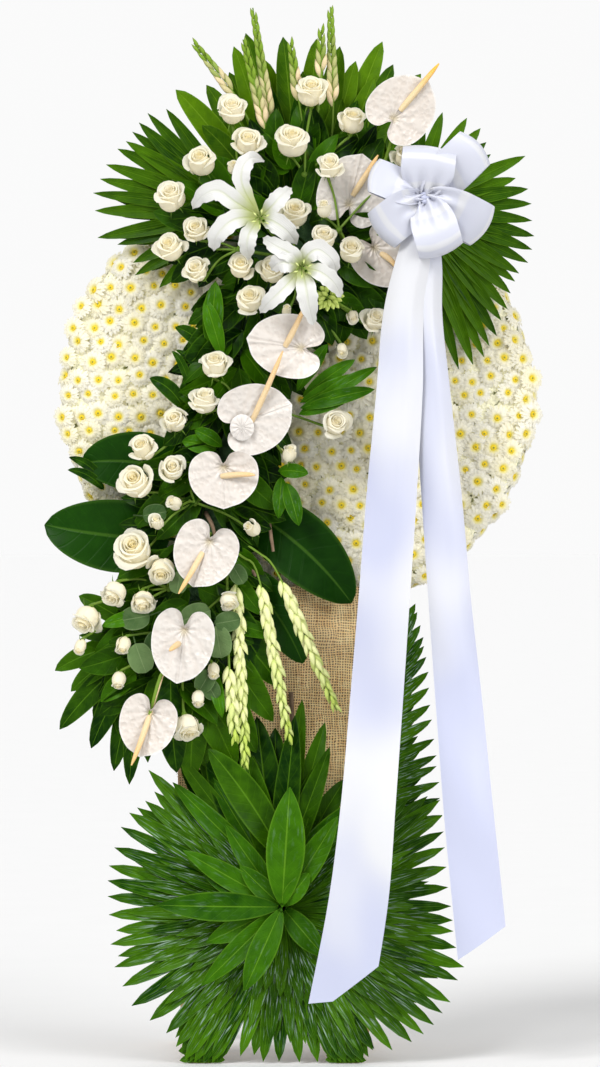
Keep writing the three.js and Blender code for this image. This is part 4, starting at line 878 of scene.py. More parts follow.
def make_lilies():
    rng = np.random.default_rng(9)
    petals, greens, buds = Heap(), Heap(), Heap()
    for throat, hole, ways in LILIES.values():
        throat = np.array(throat, float)
        for i, way in enumerate(ways):
            share = np.linspace(0, 1, len(way) + 1)[1:]
            depth = throat[1] + np.interp(share, [0, 0.35, 0.7, 1], [12, -13, -8, 14])
            points = [throat + [0, 12, 0], *((x, y, z) for (x, z), y in zip(way, depth))]
            blade(
                petals, smooth(points, 34 // len(way)), 36 if i % 2 else 31, 0.22, (0.72, 0.82),
                rng.uniform(0, 1), 11, 1.6, rng.uniform(0, 6), 6, 0.8,
            )
        stem(greens, throat + [[0, 34, -4], [0, 8, 0]], [4, 10], 9, 0.9, 4)
        stem(greens, [throat + [0, 30, 0], *peg_path(*hole)], [3.2, 3.2], 7, 0.4, 4)
        stem(greens, throat + [[0, 8, 0], [4, -22, -4], [7, -36, -9]], [1.6, 1.4, 2.9], 8, 1.0)
        for k in range(6):
            way = toward(2 * math.pi * k / 6 + 0.4)
            end = throat + way * 13 + [2, -24, -5]
            line = [throat + [0, 6, 0] + way * 3, throat + way * 7 + [0, -14, 0], end]
            stem(greens, line, [0.9, 0.7], 6, 1.0, 4)
            bud(buds, end - way * 4, way + [0, -0.3, 0.2], 9, 3, 0.4)
    # A cluster of green-white buds behind the lower lily
    for k in range(22):
        way = toward(k * GOLDEN_ANGLE)
        spot = way * 3.2 * math.sqrt(k) + [66, -196, 1344]
        bud(buds, spot, way + [0, -1.1, -0.3], 19, 9, 0.8)
    petals.piece("lily_petals", "lily_petals", "lily", list(LILIES))
    greens.piece("lily_stems", "green_stems", "lily")
    buds.piece("lily_anthers_and_buds", "lime_buds", "lily")


# Bud spikes: base and tip of each ear, then the way to the foam for each node

SPIKES = {
    "bud_spikes_top_left": [
        [(-98, -150, 1699), (-170, -146, 1790)], [(-36, -140, 1655), (-67, -136, 1853)],
        [(-44, -150, 1640), (-84, -150, 1796)]],
    "bud_spikes_top_middle": [
        [(14, -140, 1690), (-1, -138, 1792)], [(53, -146, 1730), (53, -146, 1813)]],
    "bud_spike_top_right": [[(74, -138, 1680), (69, -134, 1855)]],
    "bud_spikes_hanging_left": [
        [(-95, -166, 842), (-80, -158, 514)], [(-108, -172, 700), (-97, -166, 572)]],
    "bud_spike_hanging_middle": [[(-53, -164, 842), (-1, -150, 562)]],
    "bud_spike_hanging_right": [[(-17, -160, 850), (80, -140, 621)]],
}
SPIKE_ROOTS = {
    "bud_spikes_top_left": [(-30, -132, 1560), (-20, -118, 1508), (-20, -118, 1474)],
    "bud_spikes_top_middle": [(34, -130, 1560), (30, -118, 1508), (30, -118, 1474)],
    "bud_spike_top_right": [(66, -130, 1560), (62, -118, 1508), (62, -118, 1474)],
    "bud_spikes_hanging_left": [(-112, -160, 872), *peg_path(-128, 880)],
    "bud_spike_hanging_middle": [(-84, -158, 890), *peg_path(-124, 908)],
    "bud_spike_hanging_right": [(-60, -158, 900), *peg_path(-120, 934)],
}


def upright_ear(heap, base, way, axis, across, rng):
    """Slim buds in two rows, cream below and green above."""
    count = int(np.linalg.norm(way) / 9.5)
    for i in range(count):
        share = i / (count - 1)
        side = across * (1 if i % 2 else -1)
        size = lerp(1.0, 0.62, share)
        lean = axis + side * lerp(0.26, 0.1, share) + FRONT * rng.uniform(-0.1, 0.3)
        tone = np.clip(share * 1.7 + rng.normal(0, 0.2), 0, 1)
        bud(heap, base + way * share * 0.9 + side * 2, lean, 34 * size, 11 * size, tone)


def hanging_ear(heap, base, way, axis, across, rng):
    """Plump buds all round, which point down and outwards."""
    out = np.cross(across, axis)
    count = int(np.linalg.norm(way) / 5.6)
    for i in range(count):
        share = i / (count - 1)
        angle = i * GOLDEN_ANGLE
        radial = across * math.cos(angle) + out * math.sin(angle)
        size = lerp(1.05, 0.6, share**2) * rng.uniform(0.85, 1.1)
        tone = np.clip(share**2 + rng.normal(0, 0.15), 0, 1)
        lean = axis + radial * rng.uniform(0.22, 0.42)
        bud(heap, base + way * share * 0.95 + radial * 2, lean, 33 * size, 12 * size, tone)


def make_spikes():
    rng = np.random.default_rng(21)
    upright, hanging, stems = Heap(), Heap(), Heap()
    for name, ears in SPIKES.items():
        joint, *rest = SPIKE_ROOTS[name]
        grow, heap = (hanging_ear, hanging) if "hanging" in name else (upright_ear, upright)
        for i, (base, tip) in enumerate(ears):
            path = [*rest[::-1], joint, base, tip] if i == 0 else [joint, base, tip]
            stem(stems, path, [2.6, 2.2, 1.2], 7, 0.8)
            way = np.array(tip, float) - base
            grow(heap, np.array(base), way, unit(way), unit(np.cross(way, FRONT)), rng)
    names = list(SPIKES)
    upright.piece("upright_buds", "cream_buds", "bud_spike", names[:3])
    hanging.piece("hanging_buds", "lime_buds", "bud_spike", names[3:])
    stems.piece("bud_spike_stems", "green_stems", "bud_spike")


# Palm leaves: the points that their leaflets spread from, then the leaflets' tips as (x, z)

LEFT_HUB, RIGHT_HUB, BASE_HUB = np.array([[-92, -92, 1500], [214, -92, 1508], [-14, -122, 272.0]])
UPPER_LEFT_TIPS = [
    (-220, 1680), (-253, 1673), (-268, 1656), (-280, 1640), (-291, 1623), (-306, 1610),
    (-326, 1582), (-337, 1557), (-349, 1532), (-346, 1501), (-341, 1453), (-306, 1441),
    (-278, 1409), (-275, 1387), (-232, 1365),
]
UPPER_RIGHT_TIPS = [
    (128, 1600), (140, 1634), (166, 1652), (196, 1664), (232, 1668),
    (267, 1674), (310, 1664), (334, 1646), (344, 1621), (352, 1600), (413, 1597), (396, 1558),
    (418, 1539), (424, 1513), (425, 1483), (429, 1456), (425, 1432), (418, 1409), (402, 1390),
    (395, 1376), (387, 1355), (382, 1327), (371, 1307), (363, 1280), (350, 1262), (341, 1242),
    (321, 1229), (296, 1221),
]
BASE_TIPS = [
    (-250, 516), (-240, 478), (-256, 462), (-270, 450), (-284, 441), (-299, 416), (-310, 380),
    (-320, 348), (-322, 322), (-322, 294), (-320, 262), (-307, 234), (-317, 210), (-304, 189),
    (-310, 170), (-296, 136), (-280, 102), (-248, 76), (-219, 54), (-203, 46), (-187, 40), (-175, 35),
    (-150, 26), (-119, 21), (-89, 14), (-65, 15), (-49, 4), (-21, 4), (15, 3), (47, 3), (70, 7),
    (100, 10), (126, 18), (146, 26), (178, 24), (212, 38), (233, 52), (251, 68), (266, 89),
    (280, 108), (293, 147), (258, 150), (304, 170), (290, 204), (285, 233), (284, 252),
    (281, 277), (276, 310), (273, 346), (270, 380), (268, 408), (266, 436), (262, 464),
    (240, 470), (206, 466), (150, 420), (104, 404),
]
FOOT_COVER_TIPS = [
    (-202, 30), (-194, 20), (-186, 8), (-178, 3), (-170, 3), (-162, 2), (-154, 3), (-146, 2),
    (-138, 3), (-130, 2), (80, 3), (88, 2), (96, 3), (104, 2), (112, 3), (120, 2), (128, 3),
    (136, 12), (144, 24),
]
# Leaflets that lie along the floor in front of the runners: root x, z, tip x, z
FLOOR_LEAFLETS = [
    [-120, 14, -196, 5], [-188, 16, -116, 6], [-124, 32, -198, 22], [62, 14, 132, 5],
    [128, 16, 60, 6], [62, 32, 134, 22],
]
# Shorter leaflets in front of the base fan: reach, count, width, y, least and most of the reach
INNER_FANS = [(0.88, 60, 27, -130, 0.9, 1.02), (0.62, 46, 23, -138, 0.85, 1.1)]
FROND_TIPS = [
    (266, 436), (262, 466), (261, 494), (256, 522), (256, 541), (252, 570), (248, 604),
    (245, 630), (243, 660), (242, 688), (238, 714), (234, 733), (233, 749), (228, 770),
    (222, 793), (219, 808),
]
FROND_RIB = [(48, -106, 262), (78, -108, 400), (128, -104, 620), (166, -100, 770), (196, -98, 812)]
# Three leaflets at each place on the frond: share of the reach, way aside, width
FROND_LAYERS = [(1, (0, 0, 0), 26), (0.86, (-8, 5, 12), 24), (0.66, (-4, -4, 4), 22)]


def fan(heap, hub, tips, width, droop, rng, rows=12, shape=(0.85, 0.74)):
    """Leaflets from a hub to their tips; droop is how far back a reach of 300 leans."""
    hub = np.array(hub, float)
    for i, (x, z) in enumerate(tips):
        reach = math.hypot(x - hub[0], z - hub[2])
        tip = np.array([x, hub[1] + droop * (reach / 300) ** 2 + (1.5 if i % 2 else -1.5), z])
        sag = rng.normal(0, 1, 3) * [1.2, 0.4, 1.2] + FRONT * 3
        leaf(
            heap, hub + unit(tip - hub) * 6, tip, width * rng.uniform(0.9, 1.1), sag, 0.34,
            shape, rng.uniform(0.1, 0.9), rows, 5,
        )


def make_upper_palms(rng):
    upper = Heap()
    fan(upper, LEFT_HUB, UPPER_LEFT_TIPS, 27, 14, rng, 16)
    inner = lerp(LEFT_HUB[[0, 2]], np.array(UPPER_LEFT_TIPS), 0.86) + [4, -8]
    fan(upper, LEFT_HUB + [2, 4, 0], inner, 25, 14, rng, 14)
    fan(upper, RIGHT_HUB, UPPER_RIGHT_TIPS, 27, 14, rng, 16)
    for hub, end in ((LEFT_HUB, (-44, -92, 1488)), (RIGHT_HUB, (124, -92, 1480))):
        stem(upper, [hub + [0, 2, 0], end], [4.5, 4.5], 8, 0.5, 4)
    names = ["palm_fan_upper_left", "palm_fan_upper_right"]
    upper.piece("upper_palm_leaves", "palm_leaflets", "palm", names)


def make_base_palms(rng):
    base = Heap()
    fan(base, BASE_HUB, BASE_TIPS, 30, 3, rng, 14, (0.85, 0.6))
    fan(base, BASE_HUB + [0, 2, 0], FOOT_COVER_TIPS, 28, 1, rng, 14, (0.8, 0.42))
    # The floor leaflets take a fixed tone of 0.6, set higher so that they read lighter: painted light
    # against the shade near the floor
    for x0, z0, x1, z1 in FLOOR_LEAFLETS:
        root, tip = (x0, -114, z0), (x1, -113, z1)
        leaf(base, root, tip, 24, (0, 0, 0), 0.1, (0.4, 0.5), 0.6, 12, 5)
    away = np.array(BASE_TIPS) - BASE_HUB[[0, 2]]
    angle = np.unwrap(np.arctan2(away[:, 1], away[:, 0]))
    order = np.argsort(angle)
    angle, reach = angle[order], np.hypot(*away.T)[order]
    for share, count, width, y, low, high in INNER_FANS:
        at = np.linspace(angle[0], angle[-1], count) + rng.normal(0, 0.02, count)
        length = np.interp(at, angle, reach) * share * rng.uniform(low, high, count)
        tips = BASE_HUB[[0, 2]] + length[:, None] * np.stack([np.cos(at), np.sin(at)], -1)
        fan(base, (BASE_HUB[0], y, BASE_HUB[2]), tips, width, 10, rng, 10, (0.85, 0.66))
    for x, z in ((-26, 284), (-22, 262), (-10, 240), (6, 270)):
        stem(base, [(x, -134, z), (x, -74, z)], [4.5, 4.5], 8, 0.5, 3)
    names = ["palm_fan_base_" + side for side in ("left", "low_left", "low", "low_right")]
    base.piece("base_palm_leaves", "base_leaflets", "palm", names)


def make_frond(rng):
    frond = Heap()
    rib = smooth(FROND_RIB, 8)
    tube(frond, np.vstack([[(34, -74, 240)], rib]), [3.6, 2.6, 1.4], 8, 0.9)
    for i, (x, z) in enumerate(FROND_TIPS):
        height = z - lerp(34, 90, i / (len(FROND_TIPS) - 1))
        root = np.array([np.interp(height, rib[:, 2], rib[:, k]) for k in range(3)])
        way = [x, root[1] + 6, z] - root
        for share, aside, width in FROND_LAYERS:
            tip = root + way * share + aside
            tone = rng.uniform(0, 0.8)
            leaf(frond, root, tip, width, (3, -3, -6), 0.3, (0.4, 0.66), tone, 13, 5)
    frond.piece("tall_frond_leaflets", "base_leaflets", "palm", ["tall_frond"])


# Other leaves

# Large leaves: root, tip, width, bend, end of the stalk
LARGE_LEAVES = {
    "large_leaf_left": [(-214, -102, 922), (-436, -96, 948), 128, (0, -12, -6), (-160, -98, 915)],
    "large_leaf_left_rear": [
        (-190, -94, 1040), (-372, -88, 1056), 108, (0, -8, 10), (-134, -94, 1034)],
    "large_leaf_right": [(-66, -104, 968), (107, -122, 808), 118, (8, -16, 10), (-108, -100, 976)],
    "large_leaf_low": [(-86, -102, 862), (21, -118, 702), 78, (10, -10, 4), (-134, -98, 868)],
}
# Leaves at the top: x and z of the tip, width
TOP_LEAVES = [
    [-203, 1713, 46], [-149, 1722, 40], [-109, 1745, 42], [-101, 1789, 40], [-80, 1813, 42],
    [-48, 1768, 44], [-14, 1806, 44], [45, 1803, 42], [64, 1742, 44], [86, 1789, 44],
    [114, 1764, 40], [161, 1799, 44], [146, 1734, 40], [180, 1758, 40], [229, 1742, 48],
]
# Leaves of the foot, from the crown in its foam: x and z of the tip, width
FOOT_CROWN = np.array([-24.0, -118.0, 318.0])
BASE_TALL = [
    [7, 612, 46], [68, 557, 40], [40, 520, 36], [-147, 556, 74], [-208, 495, 40], [-141, 506, 34],
    [-206, 550, 36], [132, 470, 52], [-84, 560, 52],
]
BASE_BACK = [
    [-60, 610, 62], [-110, 600, 66], [-168, 585, 60], [-196, 535, 56], [-28, 590, 54],
    [-130, 545, 60], [-222, 470, 52], [-88, 520, 58], [-236, 430, 50], [96, 500, 44],
    [0, 540, 50], [-176, 450, 56], [60, 600, 40], [20, 640, 38],
]
# Dark leaves that hang from the foot of the cascade: root x, z, tip x, z, width
DROOPING = [
    [-190, 700, -150, 520, 62], [-170, 690, -96, 520, 60], [-150, 720, -60, 545, 58],
    [-210, 690, -200, 510, 56], [-140, 760, -30, 600, 56], [-120, 790, -14, 660, 54],
    [-200, 900, -262, 838, 44], [-196, 880, -236, 800, 44], [-180, 850, -250, 862, 40],
    [-180, 670, -120, 560, 58], [-220, 700, -240, 560, 52], [-130, 830, -40, 690, 60],
    [-160, 660, -176, 496, 54], [-110, 860, -30, 740, 56], [-150, 700, -112, 600, 56],
]
# Dark leaves seen one by one: root x, z, tip x, z, width, how far forward
DARK_LEAVES = [
    [-146, 1244, -205, 1293, 27, 12], [-176, 1176, -210, 1253, 15, 18],
    [-140, 1190, -204, 1254, 16, 14], [-188, 1150, -250, 1204, 29, 10],
    [-160, 1140, -206, 1180, 22, 8], [-330, 1020, -394, 1066, 18, -50],
    [-330, 1008, -396, 1044, 18, -46], [-16, 366, -146, 556, 60, 20],
]
# Leaves of the rosette, then the trailing ones: x and z of the tip, width
ROSETTE = [
    [-2, 490, 68], [-82, 133, 48], [34, 342, 34], [-235, 283, 52], [82, 438, 46], [-158, 140, 40],
    [-90, 352, 36], [-189, 378, 42], [60, 190, 44], [-154, 334, 40], [-150, 215, 44],
    [-116, 424, 40],
]
TRAIL_TIPS = [
    [-416, 690, 40], [-388, 653, 38], [-408, 586, 44], [-352, 553, 44], [-312, 513, 42],
    [-285, 489, 40], [-374, 822, 36], [-240, 560, 40],
]
# Bright leaves between the blooms: root x, z, tip x, z, width
BRIGHT_LEAVES = [
    [-140, 1248, -132, 1372, 36], [-120, 1240, -150, 1340, 30], [16, 1160, 130, 1209, 26],
    [16, 1150, 146, 1183, 28], [20, 1170, 112, 1235, 26], [14, 1140, 100, 1165, 26],
    [10, 1180, 64, 1262, 26], [30, 1150, 150, 1222, 24], [-131, 1078, -190, 1092, 32],
    [-120, 1084, -168, 1112, 26], [-22, 1040, 30, 1036, 26], [-8, 1020, 14, 945, 30],
    [-16, 1030, -22, 958, 26], [-140, 700, -120, 610, 24], [-250, 790, -330, 770, 26],
]
# Round grey-green leaves: middle x, z, width, way of the tip in degrees
GREY_LEAVES = [
    [-166, 788, 44, 20], [-126, 742, 46, -80], [-262, 714, 44, -70], [-272, 784, 42, 190],
    [-238, 742, 34, 60], [-196, 846, 32, -100], [-238, 966, 34, 10], [-110, 778, 36, 10],
    [-92, 860, 30, -60], [-140, 660, 32, -60], [-150, 674, 34, -120],
]
# How many small leaves fill the top and the cascade
TOP_FILL, CASCADE_FILL = 95, 185
# Branches that carry the small leaves at the top: way in degrees, reach
BRANCHES = [(136, 220), (84, 190), (202, 225), (172, 245), (-45, 180), (245, 115)]


def cluster(heap, rng, places, length, width):
    """Leaves between the blooms: places of (x, z, way in radians)."""
    for x, z, way in places:
        reach = length * rng.uniform(0.8, 1.25)
        root = np.array([x, FOAM_FRONT - rng.uniform(4, 26), z])
        tip = root + toward(way) * reach + FRONT * rng.uniform(-6, 22)
        face = unit(FRONT + [rng.normal(0, 0.35), 0, rng.normal(0, 0.35)])
        leaf(
            heap, root, tip, width * rng.uniform(0.8, 1.15), FRONT * rng.uniform(2, 8), 0.2,
            (0.6, 0.8), rng.uniform(0, 1) ** 1.5, 11, 7, 1.0, rng.uniform(0, 6), 8, face=face,
        )


def make_fill_leaves():
    rng = np.random.default_rng(31)
    fill = Heap()
    top, fall = [], []
    for _ in range(TOP_FILL):
        angle = rng.uniform(0, 2 * math.pi)
        share = math.sqrt(rng.uniform(0.02, 1))
        x = 12 + 165 * share * math.cos(angle)
        z = 1455 + 150 * share * math.sin(angle)
        top.append((x, z, angle + rng.normal(0, 0.5)))
    cluster(fill, rng, top, 88, 46)
    for _ in range(CASCADE_FILL):
        z = rng.uniform(640, 1370)
        side = rng.choice([-1, 1])
        offset = rng.uniform(0, 62 if z < 1080 else 44) * side
        if z < 900 and side < 0:
            offset *= 1.3
        way = -math.pi / 2 + side * rng.uniform(0.3, 1.5 if z < 1080 else 1.0) - 0.2
        fall.append((cascade_x(z) - 14 + offset, z, way))
    cluster(fill, rng, fall, 92, 44)
    heart = np.array([40.0, FOAM_FRONT - 8, 1425.0])
    for angle, reach in BRANCHES:
        end = heart + toward(math.radians(angle)) * reach * 0.8
        tube(fill, bent_line(heart, end, (0, -2, 0), 6), [3, 1.6], 6, 0.2)
    branch = [(cascade_x(z) - 24, FOAM_FRONT - 6, z) for z in (1320, 1180, 1030, 880, 740, 640)]
    stem(fill, branch, [3, 1.8], 6, 0.2, 4)
    names = ["fill_leaves_top", "fill_leaves_cascade"]
    fill.piece("filling_leaves", "filling_leaves", "leaf", names)


def make_large_leaves(rng):
    large = Heap()
    for root, tip, width, bend, end in LARGE_LEAVES.values():
        tone = rng.uniform(0.2, 0.7)
        leaf(large, root, tip, width, bend, 0.12, (0.42, 0.62), tone, 26, 13, 2.0, 1.0, 8)
        stem(large, [np.array(root) + [0, 2, 0], end], [3, 3], 8, 0.6, 4)
    large.piece("large_leaves", "big_leaves", "leaf", list(LARGE_LEAVES))


def make_top_leaves(rng):
    top = Heap()
    shape = (0.85, 0.62)
    for i, (x, z, width) in enumerate(TOP_LEAVES):
        y = -103 + 7 * (i % 3)
        root = np.array([lerp(-58, 104, i / (len(TOP_LEAVES) - 1)), y, 1511])
        way = [x, y, z] - root
        bend = (way[0] * -0.06, 0, 6)
        leaf(top, root, (x, y, z), width, bend, 0.2, shape, rng.uniform(0.2, 1), 20, 9, 1.6, i, 6)
        end = root + way * rng.uniform(0.62, 0.8) + [rng.uniform(-24, 24), -10, 0]
        tone = rng.uniform(0, 0.5)
        leaf(top, root + [4, -8, 0], end, width * 0.92, bend, 0.2, shape, tone, 16, 7, 1.6, i)
    # The crosspiece that they grow from, and its two pegs
    for ends, rows, radius, sides in (
        ([(-62, 1511), (108, 1511)], 6, 12, 10), ([(-19.5, 1511), (-19.5, 1474)], 4, 6, 8),
        ([(65.5, 1511), (65.5, 1474)], 4, 6, 8),
    ):
        line = bent_line(*((x, -96, z) for x, z in ends), (0, 0, 0), rows)
        tube(top, line, [radius, radius], sides, 0.1)
    top.piece("top_leaves_detailed", "upright_leaves", "leaf", ["top_leaves"])


def broad_leaf(heap, rng, i, root, tip, width, bend, fold, shape, tones, ripple=1.6, rows=20):
    """A broad leaf with a wavy edge, its tone drawn from a range."""
    tone = rng.uniform(*tones)
    leaf(heap, root, tip, width, bend, fold, shape, tone, rows, 9, ripple, i, 8)


def make_foot_leaves(rng):
    foot, back = Heap(), Heap()
    for i, (x, z, width) in enumerate(BASE_TALL):
        heap = foot if i in (4, 5, 7) else back
        root = FOOT_CROWN + [(x - FOOT_CROWN[0]) * 0.03, 4 * (i % 4), 0]
        tip, tone = (x, root[1] - 16, z), rng.uniform(0.1, 0.6)
        leaf(heap, root, tip, width, (0, -6, 0), 0.16, (0.7, 0.75), tone, 20, 9, 1.6, i, 10)
    tube(foot, [(-24, -130, 318), (-24, -102, 318), (-24, -74, 316)], [12, 8], 9, 0.1)
    for i, (x, z, width) in enumerate(BASE_BACK):
        root = FOOT_CROWN + [(x - FOOT_CROWN[0]) * 0.1, 6 + 3 * (i % 5), -6]
        tip = (x, root[1] + 2, z)
        broad_leaf(back, rng, i, root, tip, width, (0, -7, 6), 0.16, (0.7, 0.7), (0, 0.8), 1.8)
    for i, (x, z, width) in enumerate(ROSETTE):
        root = np.array([-16.0, -176.0 + 3.4 * i, 279.0])
        tip = (x, root[1] - 16, z)
        broad_leaf(foot, rng, i, root, tip, width, (0, -6, 0), 0.2, (0.85, 0.9), (0.3, 1))
    tube(foot, [(-16, -180, 279), (-16, -135, 279), (-16, -74, 279)], [7, 12, 8], 9, 0.1)
    foot.piece("base_leaves", "bright_leaves", "leaf", ["base_rosette", "base_tall_leaves"])
    for i, (x0, z0, x1, z1, width) in enumerate(DROOPING):
        y = -136 - 4 * (i % 4)
        root, tip, bend = (x0, y, z0), (x1, y + 14, z1), (-4, -8, 6)
        broad_leaf(back, rng, i, root, tip, width, bend, 0.16, (0.7, 0.7), (0, 0.8), 1.8, 18)
    for i, (x0, z0, x1, z1, width, lift) in enumerate(DARK_LEAVES):
        root, tip, bend = (x0, -132 - lift, z0), (x1, -138 - lift, z1), (5, -8, 8)
        broad_leaf(back, rng, i, root, tip, width, bend, 0.2, (0.62, 0.75), (0, 0.5), 1.4, 18)
    back.piece("dark_leaves", "trailing_leaves", "leaf")


def make_trailing_leaves(rng):
    trail = Heap()
    shape = (0.8, 0.66)
    for i, (x, z, width) in enumerate(TRAIL_TIPS):
        root = np.array([-235.0, FOAM_FRONT + 12 + 4 * (i % 3), 746 - 1.2 * i])
        tip = (x, root[1] + 8, z)
        broad_leaf(trail, rng, i, root, tip, width, (-8, 0, 10), 0.18, shape, (0, 0.6))
        if i < 6:
            end = lerp(root, np.array([x, root[1], z]), 0.78) + [22, 6, -16]
            root, tone = root + [2, 2, -3], rng.uniform(0, 0.4)
            leaf(trail, root, end, width * 0.9, (-8, 0, 8), 0.18, shape, tone, 16, 7, 1.6, i)
    tube(trail, [(-238, -110, 742), (cascade_x(742) - 22, -110, 742)], [9, 7], 8, 0.1)
    trail.piece("trailing_leaves_detailed", "trailing_leaves", "leaf", ["trailing_leaves"])


def make_single_leaves(rng):
    bright, grey = Heap(), Heap()
    for i, (x0, z0, x1, z1, width) in enumerate(BRIGHT_LEAVES):
        y, tone = -168 - 3 * (i % 4), rng.uniform(0.4, 1)
        root, tip = (x0, y + 14, z0), (x1, y - 8, z1)
        leaf(bright, root, tip, width, (0, -5, 3), 0.24, (0.75, 0.75), tone, 16, 7, 1.4, i, 8)
    bright.piece("bright_leaves", "bright_leaves", "leaf")
    for i, (x, z, width, way) in enumerate(GREY_LEAVES):
        reach = toward(math.radians(way)) * width * 0.62
        middle = np.array([x, -176 - 4 * (i % 3), z])
        root, tip, tone = middle - reach, middle + reach, rng.uniform(0, 1)
        leaf(grey, root, tip, width, (0, -3, 0), 0.16, (0.42, 0.42), tone, 14, 9, 1.0, i)
        stem(grey, [root, middle - reach * 1.8 + [0, 34, 4]], [1.3, 1.5], 6, 0.3, 3)
    grey.piece("grey_green_leaves", "grey_green_leaves", "leaf")


# Burlap and twigs

BURLAP_X, BURLAP_BOTTOM, BURLAP_TOP = -30.0, 335.0, 838.0
LOOSE_YARNS = 60
# Its depth by height, where it bends over the shelf and back under the disc
BURLAP_BENDS = [[335, 600, 700, 752, 785, 838], [-6, -6, -17, -66, -76, -79]]
TWIGS = [
    [(-45, -128, 985), (-38, -150, 948), (-31, -150, 900)],
    [(-150, -128, 968), (-138, -152, 946), (-132, -150, 922)],
    [(-80, -128, 900), (-68, -148, 870), (-60, -146, 850)],
    [(0, -24, 650), (4, -22, 540), (2, -34, 400), (4, -46, 310)],
]


def burlap_half_width(z):
    return lerp(170.5, 163.0, (z - BURLAP_BOTTOM) / (BURLAP_TOP - BURLAP_BOTTOM))


def make_burlap():
    cloth, yarns, twigs = Heap(), Heap(), Heap()
    share, v = down(90), over(71)
    z = lerp(BURLAP_BOTTOM, BURLAP_TOP, share)
    depth = np.pad(np.interp(z[:, 0], *BURLAP_BENDS), 4, mode="edge")
    depth = np.convolve(depth, np.ones(9) / 9, "valid")[:, None]
    folds = 2.2 * np.sin(v * 11 + z * 0.012) + 1.4 * np.sin(v * 23 - z * 0.02)
    x = BURLAP_X + v * burlap_half_width(z) + 1.5 * np.sin(z * 0.05)
    y = depth - 9 * (1 - v**2) * (1 - z / 1000) + folds
    cloth.surface(x, y, z, share, v, 0.5)
    piece = cloth.piece("burlap_cloth", "burlap_weave", "burlap", ["burlap_front"])
    rng = np.random.default_rng(51)
    for i in range(LOOSE_YARNS):
        side = -1 if i % 2 else 1
        height = rng.uniform(BURLAP_BOTTOM + 10, BURLAP_TOP - 60)
        depth = np.interp(height, *BURLAP_BENDS)
        edge = np.array([BURLAP_X + side * burlap_half_width(height), depth, height])
        end = edge + [side * rng.uniform(4, 12), rng.uniform(-3, 3), rng.uniform(-10, 6)]
        line = bent_line(edge - [side * 4, 0, 0], end, (0, rng.uniform(-1, 1), 2), 5)
        tube(yarns, line, [0.8, 0.4], 5, 0.5)
    yarns.piece("burlap_loose_yarns", "burlap_weave", "burlap")
    for points in TWIGS:
        stem(twigs, points, [4.2, 3.6, 2.8], 8, 0.5, 6)
    twigs.piece("twigs", "twig_bark", "wood")


# Ribbon

KNOT = np.array([231.0, -262.0, 1513.0])
# Edges of a tail as (height, left x, right x, depth), its cut end as (across, height), and its
# flat length in metres
TAILS = {
    "ribbon_tail_left": [
        [(1500, 212, 236, -262), (1400, 180, 242, -262), (1307, 159, 230, -256),
         (1180, 148, 228, -262), (1000, 131, 218, -254), (820, 117, 206, -260),
         (640, 102, 194, -252), (460, 86, 181, -258), (290, 64, 168, -252), (100, 27, 138, -246)],
        [(-1, 117), (-0.25, 121), (1, 182)], 1.46],
    "ribbon_tail_right": [
        [(1500, 228, 250, -250), (1400, 216, 262, -248), (1307, 209, 263, -240),
         (1180, 214, 276, -246), (1000, 226, 296, -238), (820, 238, 312, -244),
         (640, 251, 332, -236), (460, 264, 350, -242), (330, 276, 364, -236), (180, 291, 380, -232)],
        [(-1, 191), (1, 250)], 1.34],
}
# Loops of the bow: way in degrees, reach, width, lift forward, tilt of the band in degrees
LOOPS = [
    [44, 132, 82, 30, 22], [84, 88, 94, 44, -10], [157, 104, 72, 26, 30], [218, 104, 82, 34, -26],
    [333, 122, 84, 34, 26], [287, 106, 80, 46, 8],
]


def make_tail(name):
    rows, cut, length = TAILS[name]
    heights, left, right, depth = np.array(rows, float).T
    t, v = down(120), over(17)
    z = lerp(heights[0], np.interp(v, *zip(*cut)), t)
    x0, x1 = (smooth_profile(z, heights, side) for side in (left, right))
    width = x1 - x0
    cup = np.sqrt(np.clip(96.0**2 - width**2, 100, None)) * 0.2
    sway = 3.0 * np.sin(z * 0.011) + 2.0 * np.sin(z * 0.023 + 2 * v)
    crease = 2.2 * np.exp(-(((v - 0.35) / 0.22) ** 2)) * np.exp(-((t / 0.5) ** 2))
    y = smooth_profile(z, heights, depth) + cup * (v**2 - 0.4) + sway - crease
    cloth = Heap()
    x = (x0 + x1) / 2 + v * width / 2
    # The right tail's tone of 1.0 gives it more painted lavender shade than the left tail
    cloth.surface(x, y, z, t, v, 1.0 if name.endswith("right") else 0.0)
    piece = cloth.piece(f"{name}_satin", "white_satin", "ribbon", [name])


def make_bow():
    loops = Heap()
    t, v = down(44), over(21)
    for k, (angle, reach, width, lift, tilt) in enumerate(LOOPS):
        way = toward(math.radians(angle))
        lean = math.radians(tilt)
        band = np.cross(FRONT, way) * math.cos(lean) + FRONT * math.sin(lean)
        out_share = ((1 - np.cos(2 * math.pi * t)) / 2) ** 0.8
        forward = lift * np.sin(2 * math.pi * t) * (0.35 + 0.65 * out_share) + 6
        open_share = np.clip(out_share / 0.6, 0, 1)
        wide = lerp(0.36, 1.0, open_share**0.8 * (2 - open_share**0.8))
        pleat = 9 * (1 - open_share) ** 1.4 * np.cos(3 * math.pi * v + k)
        pleat = pleat + 1.6 * open_share * np.sin(2 * v + 5 * t + k)
        far = reach * out_share * (1 - 0.08 * v**2 + 0.03 * v * math.sin(2 * k))
        side = v * wide * width / 2
        points = KNOT + way * far[..., None] + band * side[..., None]
        loops.grid(points + FRONT * (forward + pleat)[..., None], t, v, k / 5)
    bow = loops.piece("ribbon_bow_satin", "bow_satin", "ribbon", ["ribbon_bow"])


